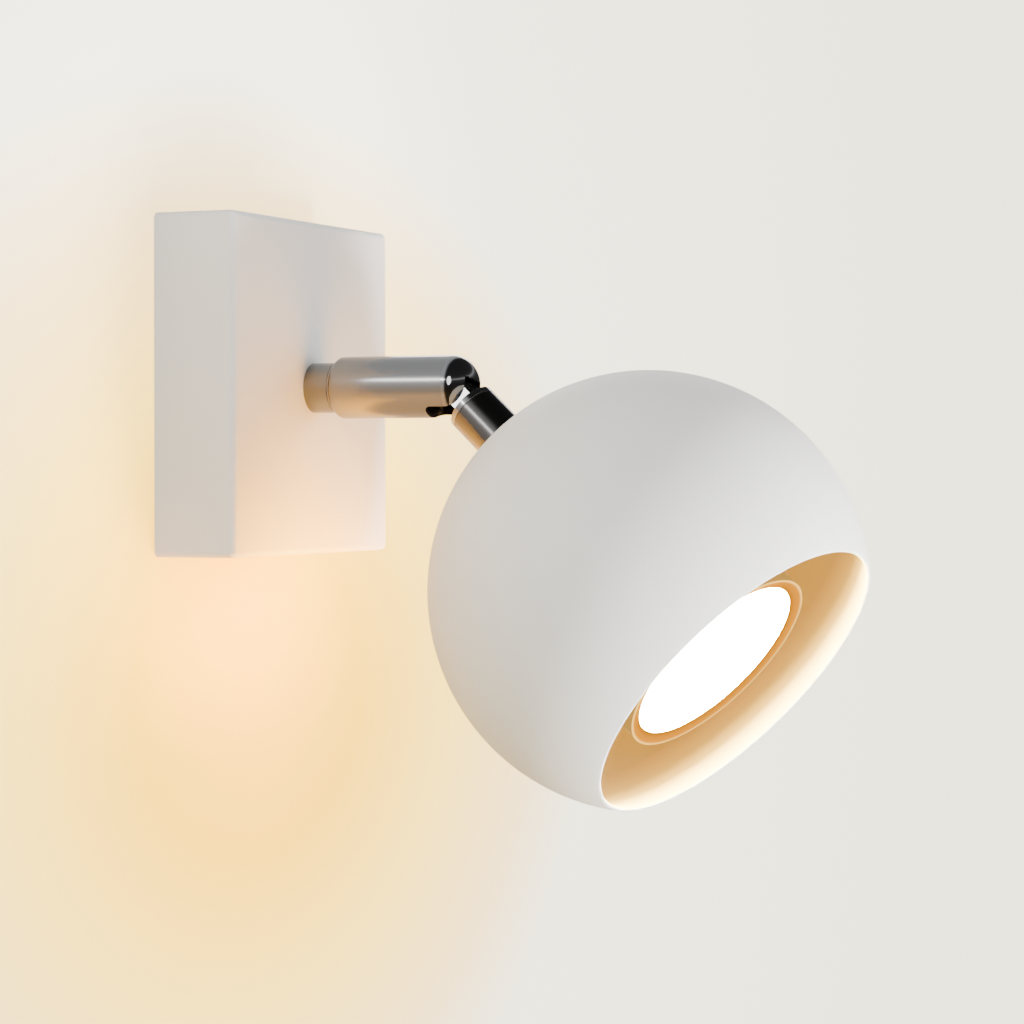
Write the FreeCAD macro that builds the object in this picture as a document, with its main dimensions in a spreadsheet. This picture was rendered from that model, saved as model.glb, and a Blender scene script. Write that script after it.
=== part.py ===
"""Pivoting spotlight wall light: a square canopy, a swivelling arm and a tilting globe shade.

Millimetres and degrees. The origin is the centre of the canopy's back, in the wall's plane.
+Z is up, +X runs along the wall and the light stands out from the wall towards -Y.
"""
import FreeCAD, Part
import Sketcher
import math
import os
from types import SimpleNamespace
from FreeCAD import Placement, Rotation, Vector

DIMENSIONS = {
    # Canopy: a drawn steel box over a pressed bracket.
    "canopy_side": 80.0,
    "canopy_depth": 21.0,
    "canopy_wall": 1.5,
    "canopy_rounding": 1.6,
    "canopy_clearance": 0.4,
    "bracket_width": 58.0,
    "bracket_thickness": 1.5,
    "bracket_corner": 4.0,
    "tab_width": 14.0,
    "tab_height": 12.0,
    "cover_screw_height": 8.0,
    "wall_slot_spacing": 52.0,
    "wall_slot_width": 4.5,
    "wall_slot_length": 12.0,
    "cable_hole_radius": 7.0,
    "cable_bore_radius": 4.0,
    "grommet_lip": 1.8,
    "grommet_thickness": 1.4,
    # Arm: the collar is fixed to the canopy and the barrel turns on its spigot.
    "collar_radius": 6.0,
    "collar_length": 6.2,
    "collar_bore_radius": 2.75,
    "thread_radius": 5.0,
    "tail_length": 7.4,
    "spigot_radius": 4.25,
    "spigot_length": 9.4,
    "groove_offset": 4.8,
    "groove_width": 2.2,
    "groove_depth": 0.7,
    "groove_web": 12.0,
    "swivel_gap": 0.15,
    "barrel_radius": 7.4,
    "barrel_neck_radius": 6.1,
    "barrel_neck_length": 0.3,
    "barrel_shoulder": 1.0,
    "barrel_rounding": 1.6,
    "barrel_bore_radius": 6.4,
    "barrel_bush_end": 18.5,
    "pivot_reach": 36.5,
    # Knuckle: a domed, slotted end that carries the tongue of the head on a pin.
    "crease_offset": 0.4,
    "dome_length": 6.2,
    "plug_length": 11.0,
    "slot_width": 9.0,
    "slot_back": 4.8,
    "slot_corner": 1.6,
    "tongue_side_play": 0.1,
    "tongue_half_height": 2.6,
    "tongue_eye_radius": 3.8,
    "eye_clearance": 0.4,
    "pin_radius": 1.6,
    "pin_head_radius": 2.7,
    "pin_head_height": 1.8,
    "pin_end_wall": 0.35,
    "tilt_washer_thickness": 0.4,
    "tilt_low_limit": 15.0,
    # Head: stem, globe shade and lampholder on one hollow threaded tail.
    "stem_radius": 6.1,
    "disc_start": 7.3,
    "disc_thickness": 1.4,
    "stem_seam": 0.15,
    "tail_bore_radius": 3.0,
    "neck_bore_radius": 1.5,
    "tail_beyond_nut": 1.0,
    "globe_reach": 72.0,
    "globe_radius": 50.0,
    "globe_wall": 1.0,
    "mouth_offset": 30.7,
    "washer_radius": 9.0,
    "washer_thickness": 1.0,
    "nut_across_flats": 14.0,
    "nut_height": 3.6,
    "strap_width": 15.0,
    "strap_thickness": 1.2,
    "strap_leg_reach": 9.6,
    "strap_foot_reach": 14.0,
    "holder_radius": 14.6,
    "holder_clearance": 3.4,
    "holder_body_height": 9.5,
    "holder_face_height": 4.5,
    "holder_screw_reach": 11.4,
    "chamber_depth": 4.6,
    "lead_room_radius": 6.4,
    "lead_room_depth": 3.0,
    # Lamp: a reflector lamp with a twist-and-lock base of two headed pins.
    "lamp_radius": 25.0,
    "lamp_length": 48.8,
    "lamp_gap": 0.2,
    "lamp_pin_spacing": 10.0,
    "lamp_pin_radius": 1.6,
    "lamp_pin_head_radius": 2.4,
    "lamp_pin_head_height": 2.6,
    "lamp_twist": 30.0,
    "lamp_base_radius": 12.0,
    "lamp_base_height": 13.0,
    "lamp_cone_height": 22.0,
    "lamp_shell_wall": 1.2,
    "bezel_height": 3.0,
    "bezel_lap": 1.0,
    "bezel_rim": 0.4,
    "board_thickness": 1.0,
    "diffuser_radius": 22.0,
    "diffuser_recess": 0.8,
    "diffuser_thickness": 1.6,
    # Fasteners, leads and terminals.
    "screw_radius": 1.5,
    "screw_play": 0.05,
    "hole_play": 0.2,
    "thread_play": 0.06,
    "screw_head_radius": 2.9,
    "cover_screw_beyond": 2.0,
    "holder_screw_beyond": 1.0,
    "contact_thickness": 0.4,
    "lead_radius": 0.9,
    "lead_bend_share": 0.45,
    "lead_spread": 1.2,
    "lead_slack": 0.5,
    "lead_gap": 0.6,
    "lead_bend_height": 9.1,
    "lead_bend_reach": 5.6,
    "socket_radius": 0.75,
    "socket_depth": 1.05,
    "terminal_reach": 19.5,
    "terminal_length": 16.0,
    "terminal_width": 17.0,
    "terminal_height": 12.0,
    "terminal_pitch": 8.0,
    "terminal_bore_radius": 1.3,
    "terminal_wall": 0.7,
    "terminal_end_lap": 1.0,
    "terminal_screw_radius": 1.25,
    "terminal_screw_length": 3.0,
    "terminal_screw_head": 2.0,
    "earth_reach": 19.0,
    "earth_screw_radius": 2.0,
    # The pose that the light is shown in.
    "swivel": 12.0,
    "tilt": 42.0,
}

doc = FreeCAD.newDocument("PivotingSpotlight")
sheet = doc.addObject("Spreadsheet::Sheet", "Sizes")


class Length:
    """A number together with the sheet expression that drives it."""

    def __init__(self, number, text):
        self.number = number
        self.text = text

    def __add__(self, other):
        other = length(other)
        return Length(self.number + other.number, "(%s + %s)" % (self.text, other.text))

    def __sub__(self, other):
        other = length(other)
        return Length(self.number - other.number, "(%s - %s)" % (self.text, other.text))

    def __mul__(self, other):
        other = length(other)
        return Length(self.number * other.number, "(%s * %s)" % (self.text, other.text))

    def __truediv__(self, other):
        other = length(other)
        return Length(self.number / other.number, "(%s / %s)" % (self.text, other.text))

    def __neg__(self):
        return length(0) - self

    def __radd__(self, other):
        return length(other) + self

    def __rsub__(self, other):
        return length(other) - self

    def __rmul__(self, other):
        return length(other) * self


def length(value):
    """Give a plain number the same form as a driven one."""
    if isinstance(value, Length):
        return value
    return Length(float(value), "%.6f" % value)


def root(value):
    return Length(math.sqrt(value.number), "sqrt(%s)" % value.text)


def sine(angle):
    return Length(math.sin(math.radians(angle.number)), "sin(%s)" % angle.text)


def cosine(angle):
    return Length(math.cos(math.radians(angle.number)), "cos(%s)" % angle.text)


def fill_sheet():
    """Write every driving dimension into the sheet and return them by name."""
    driven = {}
    for row, (name, number) in enumerate(DIMENSIONS.items(), start=1):
        sheet.set("A%d" % row, name)
        sheet.set("B%d" % row, str(number))
        sheet.setAlias("B%d" % row, name)
        driven[name] = Length(number, "Sizes." + name)
    doc.recompute()
    return SimpleNamespace(**driven)


size = fill_sheet()
sub_parts = []
CLOSE = 0.01

# ---------------------------------------------------------------- frames

TURNS = {"X": Rotation(Vector(0, 1, 0), 90), "Y": Rotation(Vector(1, 0, 0), -90), "Z": Rotation()}

wall_frame = Placement(Vector(0, 0, 0), Rotation(Vector(1, 0, 0), 90))
front_frame = wall_frame * Placement(Vector(0, 0, size.canopy_depth.number), Rotation())
arm_frame = front_frame * Placement(Vector(), Rotation(Vector(0, 0, 1), -size.swivel.number))
pivot_frame = arm_frame * Placement(Vector(0, 0, size.pivot_reach.number), Rotation())
head_frame = pivot_frame * Placement(Vector(), Rotation(Vector(1, 0, 0), size.tilt.number))

# ---------------------------------------------------------------- building blocks


def drive(item, prop, value):
    """Bind a property to the sheet expression of a value."""
    item.setExpression(prop, length(value).text)


def place(item, at, axis="Z"):
    """Stand a primitive at a driven point, with its own Z along an axis."""
    item.Placement = Placement(Vector(), TURNS[axis])
    for letter, value in zip("xyz", at):
        drive(item, ".Placement.Base." + letter, value)
    return item


def block(sizes, centre, low):
    """A box centred in X and Y on a point, standing on the height low."""
    item = doc.addObject("Part::Box", "Block")
    for prop, value in zip(("Length", "Width", "Height"), sizes):
        drive(item, prop, value)
    wide, deep = length(sizes[0]), length(sizes[1])
    return place(item, (centre[0] - wide / 2, centre[1] - deep / 2, low))


def rod(radius, tall, at=(0, 0, 0), axis="Z"):
    item = doc.addObject("Part::Cylinder", "Rod")
    drive(item, "Radius", radius)
    drive(item, "Height", tall)
    return place(item, at, axis)


def cone(foot_radius, top_radius, tall, at=(0, 0, 0), axis="Z"):
    item = doc.addObject("Part::Cone", "Cone")
    drive(item, "Radius1", foot_radius)
    drive(item, "Radius2", top_radius)
    drive(item, "Height", tall)
    return place(item, at, axis)


def hexagon(across_flats, tall, low):
    item = doc.addObject("Part::Prism", "Hexagon")
    item.Polygon = 6
    drive(item, "Circumradius", across_flats / root(length(3)))
    drive(item, "Height", tall)
    return place(item, (0, 0, low))


def join(items):
    item = doc.addObject("Part::MultiFuse", "Join")
    item.Shapes = items
    return item


def cut(base, tools):
    item = doc.addObject("Part::Cut", "Cut")
    item.Base = base
    item.Tool = tools[0] if len(tools) == 1 else join(tools)
    return item


def together(items):
    """Several separate solids of one kind in one node."""
    item = doc.addObject("Part::Compound", "Together")
    item.Links = items
    return item


def origin_plane(body, role):
    return [plane for plane in body.Origin.OriginFeatures if plane.Role == role][0]


def outline(body, role, corners):
    """A closed sketch of straight sides whose corners are held by the sheet."""
    sketch = body.newObject("Sketcher::SketchObject", "Outline")
    sketch.AttachmentSupport = [(origin_plane(body, role), "")]
    sketch.MapMode = "FlatFace"
    corners = [(length(across), length(up)) for across, up in corners]
    points = [Vector(across.number, up.number, 0) for across, up in corners]
    count = len(points)
    for index in range(count):
        sketch.addGeometry(Part.LineSegment(points[index], points[(index + 1) % count]), False)
    for index in range(count):
        sketch.addConstraint(Sketcher.Constraint("Coincident", index, 2, (index + 1) % count, 1))
    for index, corner in enumerate(corners):
        for kind, value in zip(("DistanceX", "DistanceY"), corner):
            held = sketch.addConstraint(Sketcher.Constraint(kind, -1, 1, index, 1, value.number))
            sketch.setExpression("Constraints[%d]" % held, value.text)
    return sketch


def rectangle(half_across, half_up):
    low = [(-half_across, -half_up), (half_across, -half_up)]
    return low + [(half_across, half_up), (-half_across, half_up)]


def turned(name, corners):
    """A body turned about Z from an outline of (radius, height) corners."""
    body = doc.addObject("PartDesign::Body", name)
    sketch = outline(body, "XZ_Plane", corners)
    turn = body.newObject("PartDesign::Revolution", "Turning")
    turn.Profile = sketch
    turn.ReferenceAxis = (sketch, ["V_Axis"])
    turn.Angle = 360
    return body


def tube(name, outer, inner, low, high):
    return turned(name, [(inner, low), (outer, low), (outer, high), (inner, high)])


def rounded_edges(body, base, radius, chosen):
    """Round the edges of a feature that the test picks out."""
    doc.recompute()
    names = ["Edge%d" % (index + 1) for index, edge in enumerate(base.Shape.Edges) if chosen(edge)]
    fillet = body.newObject("PartDesign::Fillet", "Rounding")
    fillet.Base = (base, names)
    drive(fillet, "Radius", radius)
    return fillet


def sub_part(item, label, frame):
    """Name a finished piece and put it in its place on the light."""
    item.Label = label
    item.Placement = frame
    sub_parts.append(item)


def arc_path(points):
    """Straight runs joined by tangent arcs that take a set share of the shorter run."""
    edges = []
    start = points[0]
    for before, corner, after in zip(points, points[1:], points[2:]):
        inward = corner.sub(before)
        outward = after.sub(corner)
        half_turn = inward.getAngle(outward) / 2
        setback = size.lead_bend_share.number * min(inward.Length, outward.Length)
        corner_gap = setback / math.tan(half_turn) * (1 / math.cos(half_turn) - 1)
        inward.normalize()
        outward.normalize()
        first = corner - inward * setback
        last = corner + outward * setback
        inside = outward - inward
        inside.normalize()
        edges.append(Part.LineSegment(start, first).toShape())
        edges.append(Part.Arc(first, corner + inside * corner_gap, last).toShape())
        start = last
    edges.append(Part.LineSegment(start, points[-1]).toShape())
    return Part.Wire(edges)


def lead(points):
    """An insulated lead swept along its route."""
    path = arc_path([Vector(*point) for point in points])
    heading = path.Edges[0].tangentAt(path.Edges[0].FirstParameter)
    ring = Part.Circle(Vector(*points[0]), heading, size.lead_radius.number)
    item = doc.addObject("Part::Feature", "Lead")
    item.Shape = path.makePipeShell([Part.Wire(ring.toShape())], True, True)
    return item


# ---------------------------------------------------------------- canopy


def canopy_half():
    return size.canopy_side / 2


def strap_half():
    """Half the bracket's height, which fits inside the cover."""
    return canopy_half() - size.canopy_wall - size.canopy_clearance


def wall_bracket():
    """Pressed steel plate with wall slots and two tabs that take the cover screws."""
    half_wide, half_high = size.bracket_width / 2, strap_half()
    body = doc.addObject("PartDesign::Body", "BracketPlate")
    pad = body.newObject("PartDesign::Pad", "Plate")
    pad.Profile = outline(body, "XY_Plane", rectangle(half_wide, half_high))
    drive(pad, "Length", size.bracket_thickness)
    rounded_edges(body, pad, size.bracket_corner, lambda edge: edge.BoundBox.ZLength > CLOSE)
    pieces = [body]
    holes = [rod(size.cable_hole_radius, size.bracket_thickness)]
    for side in (-1, 1):
        pieces.append(bracket_tab(side))
        holes += bracket_slot(side)
        holes.append(tab_hole(side))
    earth_hole = size.earth_screw_radius + size.thread_play
    holes.append(rod(earth_hole, size.bracket_thickness, (-size.earth_reach, 0, 0)))
    block_hole = size.screw_radius + size.thread_play
    holes.append(rod(block_hole, size.bracket_thickness, (size.terminal_reach, 0, 0)))
    sub_part(cut(join(pieces), holes), "wall_bracket", wall_frame)


def bracket_tab(side):
    """The bent tab at the bracket's top (side 1) or bottom (side -1)."""
    middle = side * (strap_half() - size.bracket_thickness / 2)
    return block((size.tab_width, size.bracket_thickness, size.tab_height), (0, middle), 0)


def tab_hole(side):
    start = strap_half() * side - size.bracket_thickness * (side + 1) / 2
    radius = size.screw_radius + size.screw_play
    return rod(radius, size.bracket_thickness, (0, start, size.cover_screw_height), "Y")


def bracket_slot(side):
    """The pieces of one wall slot: a straight middle and two round ends."""
    middle = size.wall_slot_spacing * side / 2
    straight = size.wall_slot_length - size.wall_slot_width
    pieces = [block((size.wall_slot_width, straight, size.bracket_thickness), (0, middle), 0)]
    for end in (-1, 1):
        round_end = (0, middle + straight * end / 2, 0)
        pieces.append(rod(size.wall_slot_width / 2, size.bracket_thickness, round_end))
    return pieces


def cable_grommet():
    """Rubber bush in the bracket's cable hole."""
    neck = size.cable_hole_radius - size.thread_play
    lip = size.cable_hole_radius + size.grommet_lip
    top = size.bracket_thickness + size.grommet_thickness
    corners = [(size.cable_bore_radius, 0), (neck, 0), (neck, size.bracket_thickness)]
    corners += [(lip, size.bracket_thickness), (lip, top), (size.cable_bore_radius, top)]
    sub_part(turned("CableGrommet", corners), "cable_grommet", wall_frame)


def canopy_cover():
    """Square box with rounded edges, open at the wall."""
    body = doc.addObject("PartDesign::Body", "CanopyCover")
    half = canopy_half()
    pad = body.newObject("PartDesign::Pad", "CoverBlock")
    pad.Profile = outline(body, "XY_Plane", rectangle(half, half))
    drive(pad, "Length", size.canopy_depth)
    rounding = rounded_edges(body, pad, size.canopy_rounding, lambda edge: edge.BoundBox.ZMax > CLOSE)
    inner = half - size.canopy_wall
    pocket = body.newObject("PartDesign::Pocket", "Hollow")
    pocket.Profile = outline(body, "XY_Plane", rectangle(inner, inner))
    pocket.Reversed = True
    drive(pocket, "Length", size.canopy_depth - size.canopy_wall)
    body.Tip = pocket
    doc.recompute()
    if pocket.Shape.Volume >= rounding.Shape.Volume:
        raise ValueError("the cover's hollow points away from the cover")
    centre_hole = size.thread_radius + size.hole_play
    tools = [rod(centre_hole, size.canopy_depth * 2)]
    for side in (-1, 1):
        tools += cover_screw_hole(side)
    sub_part(cut(body, tools), "canopy_cover", wall_frame)


def cover_screw_hole(side):
    """A countersunk hole in the top (side 1) or the bottom (side -1) of the cover."""
    half = canopy_half()
    clear = size.screw_radius + size.hole_play
    sink = size.screw_head_radius + size.thread_play
    depth = sink - clear
    height = size.cover_screw_height
    if side > 0:
        flare = cone(clear, sink, depth, (0, half - depth, height), "Y")
        return [rod(clear, size.canopy_wall, (0, half - size.canopy_wall, height), "Y"), flare]
    flare = cone(sink, clear, depth, (0, -half, height), "Y")
    return [rod(clear, size.canopy_wall, (0, -half, height), "Y"), flare]


def cover_screws():
    """Countersunk screws through the cover's top and bottom into the bracket's tabs."""
    half = canopy_half()
    height = size.cover_screw_height
    sunk = size.screw_head_radius - size.screw_radius
    reach = size.canopy_wall + size.canopy_clearance + size.bracket_thickness + size.cover_screw_beyond
    screws = []
    for side in (-1, 1):
        if side > 0:
            head = cone(size.screw_radius, size.screw_head_radius, sunk, (0, half - sunk, height), "Y")
            shank = rod(size.screw_radius, reach - sunk, (0, half - reach, height), "Y")
        else:
            head = cone(size.screw_head_radius, size.screw_radius, sunk, (0, -half, height), "Y")
            shank = rod(size.screw_radius, reach - sunk, (0, sunk - half, height), "Y")
        screws.append(join([head, shank]))
    sub_part(together(screws), "cover_screws", wall_frame)


# ---------------------------------------------------------------- collar and its nut


def inside_front():
    """Height of the inner side of the cover's front, from the front."""
    return -size.canopy_wall


def arm_collar():
    """Fixed collar: threaded tail, shoulder, and a spigot with the grub screw's groove."""
    bore = size.collar_bore_radius
    tail = inside_front() - size.tail_length
    spigot_end = size.collar_length + size.spigot_length
    corners = [(bore, tail), (size.thread_radius, tail), (size.thread_radius, 0)]
    corners += [(size.collar_radius, 0), (size.collar_radius, size.collar_length)]
    corners += [(size.spigot_radius, size.collar_length), (size.spigot_radius, spigot_end)]
    corners += [(bore, spigot_end)]
    body = turned("ArmCollar", corners)
    low = size.collar_length + size.groove_offset - size.groove_width / 2
    high = low + size.groove_width
    floor = size.spigot_radius - size.groove_depth
    beyond = size.spigot_radius + size.groove_depth
    groove = body.newObject("PartDesign::Groove", "StopGroove")
    groove.Profile = outline(body, "XZ_Plane", [(floor, low), (beyond, low), (beyond, high), (floor, high)])
    groove.ReferenceAxis = (groove.Profile[0], ["V_Axis"])
    groove.Midplane = True
    drive(groove, "Angle", 360 - size.groove_web)
    body.Tip = groove
    sub_part(body, "arm_collar", front_frame)


def collar_fixings():
    """Toothed washer and thin nut that clamp the collar to the cover."""
    bore = size.thread_radius + size.thread_play
    washer_low = inside_front() - size.washer_thickness
    washer = tube("CollarWasher", size.washer_radius, bore, washer_low, inside_front())
    sub_part(washer, "collar_washer", front_frame)
    nut_low = washer_low - size.nut_height
    through = rod(bore, size.canopy_depth, (0, 0, -size.canopy_depth))
    nut = cut(hexagon(size.nut_across_flats, size.nut_height, nut_low), [through])
    sub_part(nut, "collar_nut", front_frame)


# ---------------------------------------------------------------- wiring in the canopy


def terminal_axis_height():
    return size.bracket_thickness + size.terminal_height / 2


def terminal_tube_radius():
    return size.terminal_bore_radius + size.terminal_wall


def terminal_block():
    """Two-pole block with a through hole for each pole and a screw well at each end."""
    base = block((size.terminal_length, size.terminal_width, size.terminal_height),
                 (size.terminal_reach, 0), size.bracket_thickness)
    start = size.terminal_reach - size.terminal_length / 2
    channel = terminal_tube_radius() + size.thread_play
    tools = []
    for side in (-1, 1):
        across = size.terminal_pitch * side / 2
        tools.append(rod(channel, size.terminal_length, (start, across, terminal_axis_height()), "X"))
    for across, up in terminal_spots():
        well = size.screw_radius + size.hole_play
        tools.append(rod(well, size.terminal_height, (across, up, terminal_axis_height())))
    fixing = size.screw_radius + size.thread_play
    tools.append(rod(fixing, size.terminal_height * 2, (size.terminal_reach, 0, 0)))
    sub_part(cut(base, tools), "terminal_block", wall_frame)


def terminal_spots():
    """Centres of the four clamping screws, as (across X, across Y)."""
    return [(size.terminal_reach + size.terminal_length * end / 4, size.terminal_pitch * side / 2)
            for side in (-1, 1) for end in (-1, 1)]


def terminal_tubes():
    """Brass tubes inside the block, drilled for their clamping screws."""
    start = size.terminal_reach - size.terminal_length / 2 + size.terminal_end_lap
    run = size.terminal_length - size.terminal_end_lap * 2
    tubes = []
    for side in (-1, 1):
        at = (start, size.terminal_pitch * side / 2, terminal_axis_height())
        tools = [rod(size.terminal_bore_radius, run, at, "X")]
        for across, up in terminal_spots():
            hole = size.terminal_screw_radius + size.screw_play
            tools.append(rod(hole, size.terminal_height, (across, up, terminal_axis_height())))
        tubes.append(cut(rod(terminal_tube_radius(), run, at, "X"), tools))
    sub_part(together(tubes), "terminal_tubes", wall_frame)


def terminal_screws():
    """Four clamping screws, one at each end of each pole."""
    foot = terminal_axis_height() + size.lead_radius + size.screw_play
    head_low = terminal_axis_height() + terminal_tube_radius() + size.screw_play
    screws = []
    for across, up in terminal_spots():
        thread = rod(size.terminal_screw_radius, size.terminal_screw_length, (across, up, foot))
        head = rod(size.screw_radius, size.terminal_screw_head, (across, up, head_low))
        screws.append(join([thread, head]))
    sub_part(together(screws), "terminal_screws", wall_frame)


def block_screw():
    """Screw that holds the terminal block to the bracket."""
    top = size.bracket_thickness + size.terminal_height
    shank = rod(size.screw_radius, top, (size.terminal_reach, 0, 0))
    head = rod(size.screw_head_radius, size.screw_radius, (size.terminal_reach, 0, top))
    sub_part(join([shank, head]), "block_screw", wall_frame)


def earth_terminal():
    """Earth screw and cup washer on the bracket."""
    washer_top = size.bracket_thickness + size.washer_thickness
    bore = size.earth_screw_radius + size.thread_play
    washer = tube("EarthWasher", size.earth_screw_radius * 2, bore, size.bracket_thickness, washer_top)
    spot = wall_frame * Placement(Vector(-size.earth_reach.number, 0, 0), Rotation())
    sub_part(washer, "earth_washer", spot)
    head_low = washer_top + size.lead_radius * 2 + size.screw_play * 2
    shank = rod(size.earth_screw_radius, head_low)
    head = rod(size.earth_screw_radius * 2 - size.hole_play, size.earth_screw_radius, (0, 0, head_low))
    sub_part(join([shank, head]), "earth_screw", spot)


def canopy_leads():
    """Live, neutral and earth leads from the collar's bore to their terminals."""
    spread = size.lead_spread.number
    start = (size.canopy_depth + size.collar_length + size.spigot_length - size.lead_gap).number
    bend = size.lead_bend_height.number
    axis = terminal_axis_height().number
    pole = (size.terminal_pitch / 2).number
    past_screw = size.terminal_screw_radius + size.lead_slack
    inside = (size.terminal_reach - size.terminal_length / 4 + past_screw).number
    for label, side in (("live_lead", 1), ("neutral_lead", -1)):
        route = [(spread, side * spread, start), (spread, side * spread, bend)]
        route += [(size.lead_bend_reach.number, side * pole, axis), (inside, side * pole, axis)]
        sub_part(lead(route), label, wall_frame)
    flat = (size.bracket_thickness + size.washer_thickness + size.lead_radius + size.screw_play).number
    clear = (size.cable_hole_radius + size.grommet_lip + size.lead_radius * 2).number
    beside = (size.earth_reach - size.earth_screw_radius - size.lead_radius - size.hole_play).number
    route = [(-spread, 0, start), (-spread, 0, bend), (-clear, 0, flat), (-beside, 0, flat)]
    sub_part(lead(route), "earth_lead", wall_frame)


# ---------------------------------------------------------------- arm


def crease():
    """Height of the line where the satin barrel meets the polished dome."""
    return size.pivot_reach + size.crease_offset


def plug_radius():
    """Radius of the dome's plug, a close fit in the barrel's bore."""
    return size.barrel_bore_radius - size.screw_play


def pin_hole_end():
    """How far from the arm's axis the pin's blind hole ends in the near cheek."""
    return plug_radius() - size.pin_end_wall


def pin_head_seat():
    """How far from the arm's axis the pin's head is seated in the hidden cheek."""
    return size.barrel_radius - size.pin_head_height - size.hole_play


def pin_head_hole():
    radius = size.pin_head_radius + size.hole_play
    return rod(radius, size.barrel_radius, (pin_head_seat(), 0, size.pivot_reach), "X")


def arm_barrel():
    """Turned barrel that rides on the spigot, with a rounded shoulder and a slot below."""
    foot = size.collar_length + size.swivel_gap
    shoulder = foot + size.barrel_neck_length
    spigot_bore = size.spigot_radius + size.screw_play
    corners = [(spigot_bore, foot), (size.barrel_neck_radius, foot), (size.barrel_neck_radius, shoulder)]
    corners += [(size.barrel_radius, shoulder + size.barrel_shoulder)]
    corners += [(size.barrel_radius, crease()), (size.barrel_bore_radius, crease())]
    corners += [(size.barrel_bore_radius, size.barrel_bush_end), (spigot_bore, size.barrel_bush_end)]
    body = turned("ArmBarrel", corners)
    turning = body.Tip
    rounded_edges(body, turning, size.barrel_rounding, is_barrel_shoulder)
    body.Tip = body.Group[-1]
    grub_height = size.collar_length + size.groove_offset
    grub_hole = rod(size.screw_radius, size.barrel_radius, (0, 0, grub_height), "X")
    sub_part(cut(body, [grub_hole, under_slot(), pin_head_hole()]), "arm_barrel", arm_frame)


def is_barrel_shoulder(edge):
    """The corner where the shoulder's slope meets the barrel."""
    corner = size.collar_length.number + size.swivel_gap.number
    corner += size.barrel_neck_length.number + size.barrel_shoulder.number
    is_ring = abs(edge.BoundBox.ZMax - corner) < 0.01 and abs(edge.BoundBox.ZMin - corner) < 0.01
    return is_ring and edge.BoundBox.XLength > size.barrel_neck_radius.number * 2


def under_slot():
    """Cutter for the slot on the underside, with round corners at its closed end."""
    deep = size.barrel_radius * 2
    corner = size.slot_corner
    back = size.pivot_reach - size.slot_back
    run = size.slot_back + size.dome_length * 2
    wide = block((size.slot_width, deep, run - corner), (0, -deep / 2), back + corner)
    narrow = block((size.slot_width - corner * 2, deep, run), (0, -deep / 2), back)
    pieces = [wide, narrow]
    for side in (-1, 1):
        across = (size.slot_width / 2 - corner) * side
        pieces.append(rod(corner, deep, (across, -deep, back + corner), "Y"))
    return join(pieces)


def knuckle_dome():
    """Polished domed end: a plug in the barrel, two cheeks and the pin's holes."""
    dome = doc.addObject("Part::Ellipsoid", "Dome")
    drive(dome, "Radius1", size.dome_length)
    drive(dome, "Radius2", size.barrel_radius)
    dome.Angle1 = 0
    place(dome, (0, 0, crease()))
    plug = rod(plug_radius(), size.plug_length, (0, 0, crease() - size.plug_length))
    eye_room = size.tongue_eye_radius + size.eye_clearance
    half = size.slot_width / 2
    eye_cut = rod(eye_room, size.slot_width, (-half, 0, size.pivot_reach), "X")
    pin_hole = rod(size.pin_radius + size.screw_play, size.barrel_radius + pin_hole_end(),
                   (-pin_hole_end(), 0, size.pivot_reach), "X")
    lead_hole = rod(size.collar_bore_radius, size.plug_length, (0, 0, size.pivot_reach - size.plug_length))
    tools = [under_slot(), eye_cut, raised_neck_cut(), pin_hole, pin_head_hole(), lead_hole]
    sub_part(cut(join([dome, plug]), tools), "knuckle_dome", arm_frame)


def raised_neck_cut():
    """Room for the neck at its highest tilt, which ends the slot in the dome."""
    room = size.tongue_half_height + size.tongue_side_play
    run = size.barrel_radius * 2
    item = block((size.slot_width, room * 2, run), (0, 0), 0)
    item.Placement = Placement(Vector(), Rotation(Vector(1, 0, 0), size.tilt_low_limit.number))
    drive(item, ".Placement.Base.y", -room * cosine(size.tilt_low_limit))
    drive(item, ".Placement.Base.z", size.pivot_reach - room * sine(size.tilt_low_limit))
    return item


def swivel_grub_screw():
    """Dog-point screw in the barrel's side whose point runs in the collar's groove."""
    height = size.collar_length + size.groove_offset
    seat = size.spigot_radius + size.screw_play * 2
    outer = size.barrel_radius - size.hole_play * 2
    body = rod(size.screw_radius - size.screw_play, outer - seat, (seat, 0, height), "X")
    floor = size.spigot_radius - size.groove_depth + size.hole_play
    dog = rod(size.screw_radius / 2, seat - floor, (floor, 0, height), "X")
    socket = hexagon_socket(outer, height)
    sub_part(cut(join([body, dog]), [socket]), "swivel_grub_screw", arm_frame)


def hexagon_socket(outer, height):
    """Key socket in a screw's end, which faces +X."""
    item = doc.addObject("Part::Prism", "Socket")
    item.Polygon = 6
    drive(item, "Circumradius", size.socket_radius)
    drive(item, "Height", size.socket_depth)
    return place(item, (outer - size.socket_depth, 0, height), "X")


def pivot_screw():
    """Shouldered pin that enters from the hidden cheek and threads into the other."""
    tip = size.hole_play - pin_hole_end()
    seat = pin_head_seat()
    shank = rod(size.pin_radius, seat - tip, (tip, 0, size.pivot_reach), "X")
    head = rod(size.pin_head_radius, size.pin_head_height, (seat, 0, size.pivot_reach), "X")
    recess = hexagon_socket(seat + size.pin_head_height, size.pivot_reach)
    sub_part(cut(join([shank, head]), [recess]), "pivot_screw", arm_frame)


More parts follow.
